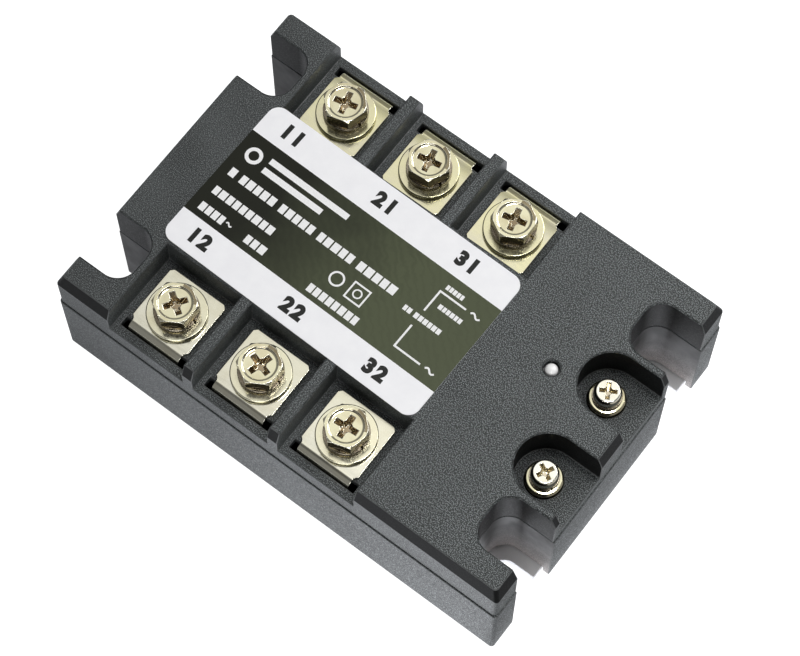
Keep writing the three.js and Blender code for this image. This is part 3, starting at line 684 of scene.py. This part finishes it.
def cover_solid():
    """The cover: rounded block, hollow below, with bays, notches, pockets and holes."""
    rings = []
    half = cover_high
    for inset, z in ((0, COVER_BOTTOM), (0, half.z - BAND_DROP), (BAND_INSET, half.z)):
        outline = rounded_rectangle(half.x - inset, half.y - inset, PLAN_ROUND)
        rings.append([(x, y, z) for x, y in outline])
    room, kept = inner_room(COVER_BOTTOM - CUT_PAST, cover_high.z - ROOF)
    bays_end = BAY_START + 2 * BAY_PITCH + BAY_LENGTH
    for side in ROWS.values():
        kept.append(block(BAY_START - WALL, bays_end + WALL, side * (BAY_INNER_TOP - WALL),
                          side * shell_high.y, LEDGE_Z - WALL, cover_high.z))
    for side in CONTROL_SIDES.values():
        kept.append(prism(end_slot(POCKET_END - WALL, side * POCKET_Y, POCKET_HALF + WALL,
                                   POCKET_HALF + WALL), POCKET_FLOOR - WALL, cover_high.z))
    hollow = without(room, kept)
    tools = [hollow]
    tools += four_corners(NOTCH_END, NOTCH_HALF, NOTCH_CORNER, COVER_BOTTOM - CUT_PAST,
                          cover_high.z + CUT_PAST)
    slot_length = 7.6
    slot_near, slot_far = 32.3, SIDE_ROOM_Y - 0.05
    nut_hole = 4.9
    for row, side in ROWS.items():
        for index in range(len(PHASES)):
            x = terminal_x(index)
            screw_low, screw_high = span("output_screw_" + PHASES[index] + row)
            y = (screw_low.y + screw_high.y) / 2
            tools.append(bay(index, side))
            tools.append(block(x - slot_length, x + slot_length, side * slot_near,
                               side * slot_far, LEDGE_Z - 2 * WALL, LEDGE_Z + CUT_PAST))
            tools.append(post(x, y, nut_hole, LEDGE_Z - 2 * WALL, LEDGE_Z + CUT_PAST, 6))
    for row, side in CONTROL_SIDES.items():
        y = side * POCKET_Y
        tools.append(prism(end_slot(POCKET_END, y, POCKET_HALF, POCKET_HALF, 24), POCKET_FLOOR,
                           cover_high.z + CUT_PAST))
        low, high = span("input_post_" + row)
        tools.append(post((low.x + high.x) / 2, y, (high.x - low.x) / 2 + 0.15,
                          POCKET_FLOOR - 2 * WALL, POCKET_FLOOR + CUT_PAST))
    led_low, led_high = span("status_led")
    tools.append(post((led_low.x + led_high.x) / 2, (led_low.y + led_high.y) / 2, 1.6,
                      cover_high.z - 2 * ROOF, cover_high.z + CUT_PAST))
    made = round_openings(without(loft(rings), tools))
    for face in made.faces:
        middle = face.calc_center_median()
        outside = abs(middle.x) > half.x - BAND_INSET or abs(middle.y) > half.y - BAND_INSET
        on_band = outside and middle.z > half.z - BAND_DROP and 0.2 < face.normal.z < 0.6
        in_pocket = (middle.x > POCKET_END - 0.1 and middle.z > POCKET_FLOOR + 0.1
                     and abs(abs(middle.y) - POCKET_Y) < POCKET_HALF + 0.1
                     and abs(middle.x) < half.x - BAND_INSET and abs(face.normal.z) < 0.3)
        # Pocket walls and notch walls take the near-black finish as painted shade.
        if on_band or in_pocket or on_notch_wall(face, middle):
            face.material_index = 1
    return made


def shell_solid():
    outline = rounded_rectangle(shell_high.x, shell_high.y, PLAN_ROUND)
    body = prism(outline, shell_low.z, shell_high.z)
    gap = 0.3
    room, kept = inner_room(plate_high.z - CUT_PAST, shell_high.z + CUT_PAST)
    rebate = block(plate_low.x - gap, plate_high.x + gap, plate_low.y - gap, plate_high.y + gap,
                   shell_low.z - CUT_PAST, plate_high.z + gap)
    notches = four_corners(NOTCH_END, NOTCH_HALF, NOTCH_CORNER, shell_low.z - CUT_PAST,
                           shell_high.z + CUT_PAST)
    made = without(body, [without(room, kept), rebate, *notches])
    # Notch walls take the second finish, with its painted sheen.
    for face in made.faces:
        if on_notch_wall(face, face.calc_center_median()):
            face.material_index = 1
    return made


def plate_solid():
    sheet = prism(rounded_rectangle(plate_high.x, plate_high.y, 0.6), plate_low.z, plate_high.z)
    slots = four_corners(SLOT_X - SLOT_HALF, SLOT_HALF, SLOT_HALF, plate_low.z - CUT_PAST,
                         plate_high.z + CUT_PAST)
    return without(sheet, slots)


piece("cover_moulding", cover_solid(), [CHARCOAL, BAND_POLISH_AND_SHADE, CHARCOAL_EDGE_HIGHLIGHT], "housing",
      ["top_cover"], FINE_EDGE, smooth=18)
piece("shell_moulding", shell_solid(), [CHARCOAL, NOTCH_PAINTED_SHEEN, CHARCOAL_EDGE_HIGHLIGHT], "housing",
      ["base_shell"], FINE_EDGE)
piece("mounting_plate", plate_solid(), [ALUMINIUM], "housing", ["base_plate"], 0.12)


# ---- Load terminals ----

BEND_STEPS = 12
BOW_STEPS = 6
BOW_DROP = 0.2  # the strip sags a little towards its bend
STRIP_CORNER = 0.7
EDGE_BREAK = 0.1


def strip_solid(node, side):
    """A plated strip: flat top with clipped corners, rolled bend, narrower leg and foot."""
    low, high = span(node)
    centre = (low.x + high.x) / 2
    half = (high.x - low.x) / 2
    thickness = 1.0
    bend_radius = 1.9
    leg_half = half - 0.65
    inner_y = 19.5
    foot_y = 24.0
    top = high.z
    bend_y = max(abs(low.y), abs(high.y)) - bend_radius
    bow_start = bend_y - 4.0
    bend_z = top - bend_radius
    outer = arc(bend_y, bend_z, bend_radius, 0, 90, BEND_STEPS)
    inner = arc(bend_y, bend_z, bend_radius - thickness, 90, 0, BEND_STEPS)
    bow = [(bow_start + (bend_y - bow_start) * i / BOW_STEPS, BOW_DROP * (i / BOW_STEPS) ** 2)
           for i in range(BOW_STEPS)]
    outer = [(y, z - BOW_DROP * (1 - i / BEND_STEPS)) for i, (y, z) in enumerate(outer[::-1])][::-1]
    inner = [(y, z - BOW_DROP * (1 - i / BEND_STEPS)) for i, (y, z) in enumerate(inner)]
    profile = [
        (inner_y, top - thickness), *[(y, top - thickness - drop) for y, drop in bow], *inner,
        (bend_y + bend_radius - thickness, low.z + thickness), (foot_y, low.z + thickness),
        (foot_y, low.z), (bend_y + bend_radius, low.z), *outer,
        *[(y, top - drop) for y, drop in bow[::-1]], (inner_y, top),
    ]
    rings = [[(x, y, z) for y, z in profile] for x in (-half, half)]
    bar = loft(rings)
    tools = []
    for way in (1, -1):
        tools.append(block(way * leg_half, way * (half + CUT_PAST), bend_y, bend_y + 4,
                           bend_z - 1, top + CUT_PAST))
        tools.append(block(way * leg_half, way * (half + CUT_PAST), foot_y - CUT_PAST, bend_y + 4,
                           low.z - CUT_PAST, bend_z + 0.5))
        for y, lean in ((inner_y, 1), (bend_y, -1)):
            corner = [(way * (half + 0.01), y - lean * 0.01),
                      (way * (half + 0.01), y + lean * STRIP_CORNER),
                      (way * (half - STRIP_CORNER), y - lean * 0.01)]
            if way * lean < 0:
                corner.reverse()
            tools.append(prism(corner, top - 2 * thickness, top + CUT_PAST))
    tools.append(post(0, 26.3, 2.8, top - 2 * thickness, top + CUT_PAST))
    made = without(bar, tools)
    bmesh.ops.recalc_face_normals(made, faces=made.faces)
    return moved(made, centre, 0, 0, 0 if side > 0 else math.pi)


def washer_solid(outer, inner, thickness, edge):
    """A stamped washer: rolled upper edge, sharper lower edge."""
    roll = [(outer - edge * (1 - math.cos(a)), thickness - edge * (1 - math.sin(a)))
            for a in (0, math.pi / 8, math.pi / 4, 3 * math.pi / 8, math.pi / 2)]
    return turned([(inner, 0), (outer - edge / 3, 0), (outer, edge / 3), *roll,
                   (inner + edge / 2, thickness), (inner, thickness - edge / 2)], 96, ring=True)


def split_washer_solid(outer, inner, thickness, turn):
    """A spring washer of square section, split by a slanting cut."""
    steps = 72
    opening = math.radians(7)
    slant = 0.35
    edge = 0.08
    section = [(inner, edge), (inner + edge, 0), (outer - edge, 0), (outer, edge),
               (outer, thickness - edge), (outer - edge, thickness), (inner + edge, thickness),
               (inner, thickness - edge)]
    rings = []
    for i in range(steps + 1):
        angle = opening / 2 + (2 * math.pi - opening) * i / steps
        ring = []
        for radius, height in section:
            lean = angle + slant * (height / thickness - 0.5) * thickness / radius
            ring.append((radius * math.cos(lean), radius * math.sin(lean), height))
        rings.append(ring)
    made = loft(rings)
    bmesh.ops.recalc_face_normals(made, faces=made.faces)
    return moved(made, turn=turn)


def recess_solid(arm, tip_arm, half_width, tip_half_width, depth, top):
    """Cutter for a cross recess whose wings narrow towards the bottom."""
    def cross(reach, half, z):
        fillet = half * 1.35
        quarter = [(reach, -half), (reach, half), (fillet + half * 0.5, half), (fillet, fillet),
                   (half, fillet + half * 0.5)]
        points = []
        for k in range(4):
            c, s = round(math.cos(k * math.pi / 2)), round(math.sin(k * math.pi / 2))
            points += [(c * x - s * y, s * x + c * y, z) for x, y in quarter]
        return points

    slope_arm = (arm - tip_arm) / depth
    slope_half = (half_width - tip_half_width) / depth
    over = 0.4
    return loft([
        cross(tip_arm, tip_half_width, top - depth),
        cross(arm + slope_arm * over, half_width + slope_half * over, top + over),
    ])


def thread_solid(radius, pitch, low, high):
    """A rolled thread with a chamfered tip, closed at both ends."""
    depth = 0.54 * pitch
    steps_per_turn = 8
    around = 40
    rows = int((high - low) / pitch * steps_per_turn)
    rings = []
    for j in range(rows + 1):
        z = low + (high - low) * j / rows
        tip = radius - max(0.0, 0.5 - (z - low))
        ring = []
        for i in range(around):
            angle = 2 * math.pi * i / around
            phase = ((z - low) / pitch - angle / (2 * math.pi)) % 1.0
            ridge = min(1.0, max(0.0, 1.25 * abs(2 * phase - 1) - 0.1))
            reach = min(radius - depth * (1 - ridge), tip)
            ring.append((reach * math.cos(angle), reach * math.sin(angle), z))
        rings.append(ring)
    return loft(rings)


def darken_recess(head, floor):
    """Gives the faces inside a cross recess the second finish, a darker one that paints the shade in
    the recess.
    """
    for face in head.faces:
        middle = face.calc_center_median()
        deep = min(v.co.z for v in face.verts) < floor - 0.3
        if deep and middle.xy.length < 2.6 and middle.z > 0.05:
            face.material_index = 1


def hexagon_screw_solid(turn, cross_turn, height, across, shank_radius, shank_length):
    """Hexagon head with both ends chamfered, a raised rim, a dished face and a cross recess."""
    corner = across / math.sqrt(3)
    face_angles = [math.radians(90 + 60 * k) for k in range(6)]
    outline = [(corner * math.cos(a), corner * math.sin(a)) for a in face_angles]
    head = prism(outline, 0, height)
    rim = across / 2 + 0.16
    envelope = turned([
        (0, -0.2), (across / 2 - 0.1, -0.2), (across / 2 - 0.1, 0), (corner + 0.05, 0.62),
        (corner + 0.05, height - 0.38), (rim + 0.14, height - 0.1), (rim, height),
        (0, height)], 120)
    head = shared(head, [envelope])
    dish = 3.45
    dish_depth = 0.42
    floor = height - dish_depth
    bowl = turned([(0, floor), (dish - 0.5, floor), (dish - 0.14, floor + 0.12),
                   (dish, height + 0.02), (dish, height + 1), (0, height + 1)], 96)
    cross = moved(recess_solid(2.45, 1.0, 0.6, 0.28, 1.7, floor), turn=cross_turn - turn)
    head = without(head, [bowl, cross])
    darken_recess(head, floor)
    # Hexagon sides and the dish wall take the third finish, painted shade.
    for face in head.faces:
        middle = face.calc_center_median()
        upright = abs(face.normal.z) < 0.35 and middle.xy.length > across / 2 - 0.3
        dish_wall = abs(middle.xy.length - dish) < 0.12 and middle.z > floor
        if upright or dish_wall:
            face.material_index = 2
    shank = thread_solid(shank_radius, 0.8, -shank_length, 0.3)
    return moved(together([head, shank]), turn=turn)


def pan_screw_solid(turn, height, radius, shank_radius, shank_length):
    """Cheese head with a rounded shoulder and a cross recess."""
    edge = 0.5
    flat = 2.15
    profile = [(0, 0), (radius - 0.15, 0), (radius, 0.15)]
    for i in range(15):
        angle = math.pi / 2 * i / 14
        profile.append((flat + (radius - flat) * math.cos(angle),
                        edge + (height - edge) * math.sin(angle)))
    profile.append((0, height))
    head = turned(profile, 80)
    head = without(head, [recess_solid(1.75, 0.6, 0.42, 0.2, 1.5, height)])
    darken_recess(head, height)
    shank = thread_solid(shank_radius, 0.5, -shank_length, 0.2)
    return moved(together([head, shank]), turn=turn)


def standing(solid, node):
    """Moves a solid that stands on zero to where a node stands."""
    low, high = span(node)
    return moved(solid, (low.x + high.x) / 2, (low.y + high.y) / 2, low.z)


# How far each load screw's hexagon is turned when it is tight, in degrees, and how far its cross is,
# since the two are struck apart and don't line up with each other.
SCREW_TURNS = {"a1": -15, "b1": -25, "c1": 0, "a2": 0, "b2": 0, "c2": -12}
CROSS_TURNS = {"a1": 14, "b1": 11, "c1": 14, "a2": -35, "b2": -16, "c2": 5}
LOAD_HEAD = 3.3
LOAD_ACROSS = 8.0
LOAD_SHANK = 2.35
CONTROL_TURN = 0.5
CONTROL_HEAD = 2.3

for row, side in ROWS.items():
    for phase in PHASES:
        place = phase + row
        turn = math.radians(SCREW_TURNS[place])
        strip, flat = "output_terminal_" + place, "output_flat_washer_" + place
        lock, screw = "output_lock_washer_" + place, "output_screw_" + place
        piece("terminal_strip_" + place, strip_solid(strip, side), [STRIP_PLATING, PLATING_EDGE_HIGHLIGHT],
              "housing", [strip], EDGE_BREAK)
        low, high = span(flat)
        made = washer_solid((high.x - low.x) / 2, 2.75, high.z - low.z, 0.22)
        piece("flat_washer_" + place, standing(made, flat), [WASHER_PLATING], "washers_" + place,
              [flat], smooth=40)
        low, high = span(lock)
        made = split_washer_solid(4.5, 2.75, high.z - low.z, turn)
        made = moved(made, (span(screw)[0].x + span(screw)[1].x) / 2,
                     (span(screw)[0].y + span(screw)[1].y) / 2, low.z)
        piece("lock_washer_" + place, made, [SPRING_STEEL], "washers_" + place,
              [lock], smooth=40)
        low, high = span(screw)
        length = high.z - low.z - LOAD_HEAD
        made = hexagon_screw_solid(turn, math.radians(CROSS_TURNS[place]), LOAD_HEAD, LOAD_ACROSS,
                                   LOAD_SHANK, length)
        made = moved(made, (low.x + high.x) / 2, (low.y + high.y) / 2, high.z - LOAD_HEAD)
        piece("hexagon_screw_" + place, made, [PLATING, RECESS_SHADE_METAL, SIDE_SHADE_PLATING, PLATING_EDGE_HIGHLIGHT],
              "screw_" + place, [screw], 0.07, smooth=28)


# ---- Control terminals ----

for row, side in CONTROL_SIDES.items():
    pillar, flat = "input_post_" + row, "input_flat_washer_" + row
    lock, screw = "input_lock_washer_" + row, "input_screw_" + row
    turn = CONTROL_TURN * side
    low, high = span(pillar)
    radius = (high.x - low.x) / 2
    made = turned([(0, low.z), (radius, low.z), (radius, high.z - 0.2), (radius - 0.2, high.z),
                   (1.75, high.z), (1.75, low.z + 1), (0, low.z + 1)], 72)
    piece("control_post_" + row, moved(made, (low.x + high.x) / 2, side * POCKET_Y),
          [TINNED_BRASS], "housing", [pillar], smooth=40)
    low, high = span(flat)
    made = washer_solid((high.x - low.x) / 2, 1.7, high.z - low.z, 0.14)
    piece("control_flat_washer_" + row, standing(made, flat), [PLATING], "washers_input_" + row,
          [flat], smooth=40)
    low, high = span(lock)
    made = split_washer_solid(2.95, 1.7, high.z - low.z, turn)
    centre_x = (span(screw)[0].x + span(screw)[1].x) / 2
    piece("control_lock_washer_" + row, moved(made, centre_x, side * POCKET_Y, low.z),
          [SPRING_STEEL], "washers_input_" + row, [lock], smooth=40)
    low, high = span(screw)
    made = pan_screw_solid(turn, CONTROL_HEAD, (high.x - low.x) / 2, 1.4,
                           high.z - low.z - CONTROL_HEAD)
    piece("control_screw_" + row, moved(made, centre_x, side * POCKET_Y, high.z - CONTROL_HEAD),
          [SMALL_PLATING, SMALL_RECESS_SHADE, PLATING_EDGE_HIGHLIGHT], "screw_input_" + row, [screw], 0.05, smooth=30)


# ---- Status light ----


def light_solid():
    """Domed lens on a flange."""
    low, high = span("status_led")
    radius = 1.36
    dome = high.z - radius
    profile = [(0, 28), (radius + 0.5, 28), (radius + 0.5, 30.2), (radius, 30.2)]
    for i in range(13):
        angle = math.pi / 2 * i / 12
        profile.append((radius * math.cos(angle), dome + radius * math.sin(angle)))
    profile[-1] = (0, high.z)
    return moved(turned(profile, 48), (low.x + high.x) / 2, (low.y + high.y) / 2)


piece("status_lens", light_solid(), [LENS], "housing", ["status_led"], smooth=50)


# ---- Label ----

LABEL_TURN = -0.02
LABEL_HALF_X = 30.35
LABEL_HALF_Y = 17.5
LABEL_CORNER = 2.5
BAND_EDGES = (-10.5, 10.2)
INK_DEPTH = 0.015
LABEL_X = (label_low.x + label_high.x) / 2
LABEL_Y = (label_low.y + label_high.y) / 2


def on_label(solid, z):
    return moved(solid, LABEL_X, LABEL_Y, z, LABEL_TURN)


def label_solid():
    """Film with round corners; the faces between the band's edges take the print."""
    film = prism(rounded_rectangle(LABEL_HALF_X, LABEL_HALF_Y, LABEL_CORNER, 14), 0,
                 label_high.z - label_low.z)
    for y in BAND_EDGES:
        bmesh.ops.bisect_plane(film, geom=[*film.verts, *film.edges, *film.faces],
                               plane_co=(0, y, 0), plane_no=(0, 1, 0))
    low, high = BAND_EDGES
    for face in film.faces:
        middle = face.calc_center_median()
        if face.normal.z > 0.9 and low < middle.y < high:
            face.material_index = 1
    return on_label(film, label_low.z)


def bar(x0, x1, y0, y1):
    return prism(rectangle(x0, x1, y0, y1), 0, INK_DEPTH)


def ring(x, y, outer, inner):
    """A printed ring, made of short ribbons."""
    return ribbon(arc(x, y, (outer + inner) / 2, 0, 360, 32), outer - inner)


def ribbon(points, width):
    """A printed line of even width along some points."""
    left, right = [], []
    for i, (x, y) in enumerate(points):
        before, after = points[max(i - 1, 0)], points[min(i + 1, len(points) - 1)]
        if points[0] == points[-1] and i in (0, len(points) - 1):
            before, after = points[-2], points[1]
        along = Vector((after[0] - before[0], after[1] - before[1])).normalized()
        across = Vector((-along.y, along.x)) * width / 2
        left.append((x + across.x, y + across.y))
        right.append((x - across.x, y - across.y))
    solid = bmesh.new()
    rows = [[solid.verts.new((x, y, INK_DEPTH)) for x, y in side] for side in (right, left)]
    for i in range(len(points) - 1):
        solid.faces.new((rows[0][i], rows[0][i + 1], rows[1][i + 1], rows[1][i]))
    return solid


def tilde(x, y, width, height, stroke):
    """The sign for alternating current: one wave."""
    steps = 20
    points = [(x + width * (i / steps - 0.5), y + height / 2 * math.sin(2 * math.pi * i / steps))
              for i in range(steps + 1)]
    return ribbon(points, stroke)


def placeholder_words(chance, x0, x1, y, height, words):
    """Rows of plain blocks that stand where a line of print would be."""
    gap = 0.22
    space = 0.85
    letters = sum(words)
    units = [[chance.uniform(0.85, 1.1) for _ in range(count)] for count in words]
    total = sum(map(sum, units)) + gap * (letters - len(words)) + space * (len(words) - 1)
    scale = (x1 - x0) / total
    made = []
    x = x0
    for word in units:
        for unit in word:
            made.append(bar(x, x + unit * scale, y, y + height))
            x += (unit + gap) * scale
        x += (space - gap) * scale
    return made


def numeral(text, x, y, height):
    """Plain numerals of a given height, centred on a point."""
    curve = bpy.data.curves.new("numeral", "FONT")
    curve.body = text
    curve.offset = 0.07
    curve.space_character = 1.3
    curve.resolution_u = 6
    holder = bpy.data.objects.new("numeral", curve)
    bpy.context.scene.collection.objects.link(holder)
    depsgraph = bpy.context.evaluated_depsgraph_get()
    mesh = bpy.data.meshes.new_from_object(holder.evaluated_get(depsgraph))
    bpy.data.objects.remove(holder)
    solid = bmesh.new()
    solid.from_mesh(mesh)
    bpy.data.meshes.remove(mesh)
    xs = [v.co.x for v in solid.verts]
    ys = [v.co.y for v in solid.verts]
    scale = height / (max(ys) - min(ys))
    for vertex in solid.verts:
        vertex.co = Vector((x + (vertex.co.x - (max(xs) + min(xs)) / 2) * scale,
                            y + (vertex.co.y - (max(ys) + min(ys)) / 2) * scale, INK_DEPTH))
    return solid


def dark_marks():
    """Terminal numbers on the white edges of the label."""
    height = 3.4
    places = [(-23.4, 14.0, "11"), (-0.9, 14.0, "21"), (19.0, 14.0, "31"),
              (-23.3, -13.75, "12"), (-0.8, -13.8, "22"), (19.1, -13.85, "32")]
    return together([numeral(text, x, y, height) for x, y, text in places])


def white_marks():
    """Plain bars, blocks and circuit signs on the dark band."""
    chance = random.Random(7)
    marks = [
        ring(-26.6, 6.0, 1.8, 1.05),
        bar(-23.4, -4.3, 6.5, 7.8),
        bar(-23.4, -9.0, 4.2, 5.5),
        *placeholder_words(chance, -28.2, 12.3, -0.15, 1.9, [1, 5, 5, 5, 5]),
        *placeholder_words(chance, -28.2, -13.6, -4.95, 1.8, [9]),
        *placeholder_words(chance, -28.2, -22.4, -9.1, 1.8, [4]),
        tilde(-21.2, -8.1, 1.3, 0.5, 0.3),
        *placeholder_words(chance, -17.0, -12.2, -9.1, 1.8, [3]),
        ring(1.9, -4.0, 1.6, 1.2),
        *[bar(*edges) for edges in ((4.9, 8.9, -2.4, -2.05), (4.9, 8.9, -6.0, -5.65),
                                    (4.9, 5.25, -5.65, -2.4), (8.55, 8.9, -5.65, -2.4))],
        ring(6.9, -4.02, 1.0, 0.7),
        *placeholder_words(chance, -1.4, 10.4, -9.4, 1.8, [8]),
        *placeholder_words(chance, 19.2, 23.2, 7.1, 1.05, [5]),
        *placeholder_words(chance, 20.4, 25.8, 3.1, 1.05, [6]),
        *placeholder_words(chance, 15.3, 24.0, -1.1, 1.15, [2, 6]),
        bar(18.6, 19.0, 1.2, 6.4),
        bar(19.0, 24.9, 6.0, 6.4),
        bar(18.6, 19.0, -8.0, -2.5),
        bar(19.0, 24.9, -8.0, -7.6),
        tilde(27.1, 6.15, 2.2, 0.7, 0.38),
        tilde(27.1, -7.8, 2.2, 0.7, 0.38),
    ]
    return together(marks)


piece("front_label_film", label_solid(), [FILM, BAND], "housing", ["front_label"])
piece("label_terminal_numbers", on_label(dark_marks(), label_high.z), [DARK_INK], "housing")
piece("label_band_marks", on_label(white_marks(), label_high.z), [WHITE_INK], "housing")


# ---- Pieces inside the housing keep their shape and take their finish ----

slots = {row["node"]: row["material_slot"] for row in frame["record"]["subparts"]}
for node, made in frame["nodes"].items():
    if not made.hide_render and slots.get(node) in INNER:
        made.data.materials.clear()
        made.data.materials.append(INNER[slots[node]])


# ---- Floor, light and camera ----

# The bright panel of the room, as spans of the X and Y parts of a direction: its dim outer
# edges and, within them, where it is fully bright.
PANEL_X = (-0.50, -0.34, 0.06, 0.22)
PANEL_Y = (-0.06, 0.06, 0.40, 0.58)
PANEL_LEVEL = 1.2
END_REACH = (-0.34, -0.16)  # the panel dims towards -X between these directions
END_LEVEL = 0.70
ROOM_LEVEL = 0.24
DARK_WAY = (0.18, -0.30, 0.937)  # where the room is dark, about the camera
DARK_REACH = (19, 29)
DARK_LEVEL = 0.05
# Glow of the floor before the long side, from end to end, and beyond the control end.
SIDE_GLOW = ((-50, 0.45), (50, 1.6))
END_GLOW = ((-35, 0.18), (35, 0.40))
END_START = (49, 57)


def floor_paper():
    """Pale paper that glows a little more towards one side, and always shows as white."""
    made, tree, shader = new_finish("floor_paper", Roughness=0.9, Emission_Strength=1.0)
    place = add(tree, "ShaderNodeTexCoord").outputs["Object"]
    fibre = add(tree, "ShaderNodeTexNoise", Vector=place, Scale=0.4 * PER_MM, Detail=3.0)
    tone = blend_colours(tree, fibre.outputs["Fac"], (0.34, 0.35, 0.36, 1), (0.36, 0.37, 0.38, 1))
    tree.links.new(tone, shader.inputs["Base Color"])
    part = add(tree, "ShaderNodeSeparateXYZ", Vector=place).outputs
    (side_from, side_low), (side_to, side_high) = SIDE_GLOW
    (end_from, end_low), (end_to, end_high) = END_GLOW
    before = spread(tree, part["X"], side_from * MM, side_to * MM, side_low, side_high)
    beyond = spread(tree, part["Y"], end_from * MM, end_to * MM, end_low, end_high)
    share = spread(tree, part["X"], END_START[0] * MM, END_START[1] * MM)
    glow = maths(tree, "ADD", maths(tree, "MULTIPLY", share, beyond),
                 maths(tree, "MULTIPLY", maths(tree, "SUBTRACT", 1.0, share), before))
    shade = blend_colours(tree, spread(tree, glow, 0.0, 2.0), (0, 0, 0, 1), (1.94, 1.98, 2.08, 1))
    seen = add(tree, "ShaderNodeLightPath").outputs["Is Camera Ray"]
    tree.links.new(blend_colours(tree, seen, shade, (1.0, 1.0, 1.0, 1)),
                   shader.inputs["Emission Color"])
    return made


def make_floor():
    half = 3.0
    solid = bmesh.new()
    corners = [solid.verts.new((x, y, -0.0001)) for x, y in rectangle(-half, half, -half, half)]
    solid.faces.new(corners)
    mesh = bpy.data.meshes.new("floor")
    solid.to_mesh(mesh)
    mesh.materials.append(floor_paper())
    made = bpy.data.objects.new("floor", mesh)
    bpy.context.scene.collection.objects.link(made)


def softbox(name, place, aim, width, height, power, colour=(1, 1, 1)):
    light = bpy.data.lights.new(name, "AREA")
    light.shape = "RECTANGLE"
    light.size, light.size_y = width, height
    light.energy = power
    light.color = colour
    made = bpy.data.objects.new(name, light)
    made.location = place
    made.rotation_euler = (Vector(aim) - Vector(place)).to_track_quat("-Z", "Y").to_euler()
    bpy.context.scene.collection.objects.link(made)
    return made


def within(tree, value, edges):
    """One inside a span, falling to nothing over its soft edges."""
    start, full_from, full_to, end = edges
    return maths(tree, "MULTIPLY", spread(tree, value, start, full_from),
                 spread(tree, value, full_to, end, 1.0, 0.0))


def make_world():
    """Studio room: bright over the far side, dark where the camera stands, dim elsewhere."""
    world = bpy.data.worlds.new("studio")
    bpy.context.scene.world = world
    world.use_nodes = True
    tree = world.node_tree
    facing = add(tree, "ShaderNodeTexCoord").outputs["Generated"]
    along = add(tree, "ShaderNodeSeparateXYZ", Vector=facing).outputs
    above = spread(tree, along["Z"], 0.0, 0.3)
    panel = maths(tree, "MULTIPLY", within(tree, along["X"], PANEL_X),
                  within(tree, along["Y"], PANEL_Y))
    panel = maths(tree, "MULTIPLY", panel, above)
    strength = spread(tree, along["X"], *END_REACH, END_LEVEL * PANEL_LEVEL, PANEL_LEVEL)
    level = maths(tree, "MAXIMUM", maths(tree, "MULTIPLY", panel, strength), ROOM_LEVEL)
    towards = tree.nodes.new("ShaderNodeVectorMath")
    towards.operation = "DOT_PRODUCT"
    tree.links.new(facing, towards.inputs[0])
    towards.inputs[1].default_value = Vector(DARK_WAY).normalized()
    inner, outer = (math.cos(math.radians(angle)) for angle in DARK_REACH)
    dark = spread(tree, towards.outputs["Value"], outer, inner, 1.0, DARK_LEVEL)
    room = add(tree, "ShaderNodeBackground", Color=(1.0, 1.0, 1.0, 1),
               Strength=maths(tree, "MULTIPLY", level, dark))
    background = tree.nodes["Background"]
    background.inputs["Color"].default_value = (0.93, 0.93, 0.94, 1)
    seen = add(tree, "ShaderNodeLightPath").outputs["Is Camera Ray"]
    mixed = tree.nodes.new("ShaderNodeMixShader")
    tree.links.new(seen, mixed.inputs[0])
    tree.links.new(room.outputs[0], mixed.inputs[1])
    tree.links.new(background.outputs[0], mixed.inputs[2])
    tree.links.new(mixed.outputs[0], tree.nodes["World Output"].inputs["Surface"])


def make_camera():
    data = bpy.data.cameras.new("camera")
    data.lens = 124.12
    data.sensor_width = 36
    data.clip_start, data.clip_end = 0.01, 50
    made = bpy.data.objects.new("camera", data)
    place, aim = Vector((118.79, -154.05, 515.91)) * MM, Vector((5.524, -3.926, 30.0)) * MM
    roll = math.radians(0.179)
    facing = (aim - place).to_track_quat("-Z", "Y").to_matrix().to_4x4()
    made.matrix_world = Matrix.Translation(place) @ facing @ Matrix.Rotation(roll, 4, "Z")
    bpy.context.scene.collection.objects.link(made)
    bpy.context.scene.camera = made


make_floor()
make_world()
softbox("overhead", (0.06, 0.11, 0.85), (0, 0, 0), 0.16, 0.16, 1.5)
softbox("front", (0.32, -0.60, 0.50), (0, 0, 0), 0.5, 0.45, 2.6)
softbox("far", (0.22, 0.60, 0.55), (0, 0, 0), 0.5, 0.45, 3.9)
make_camera()
bpy.context.scene.view_settings.view_transform = "Standard"
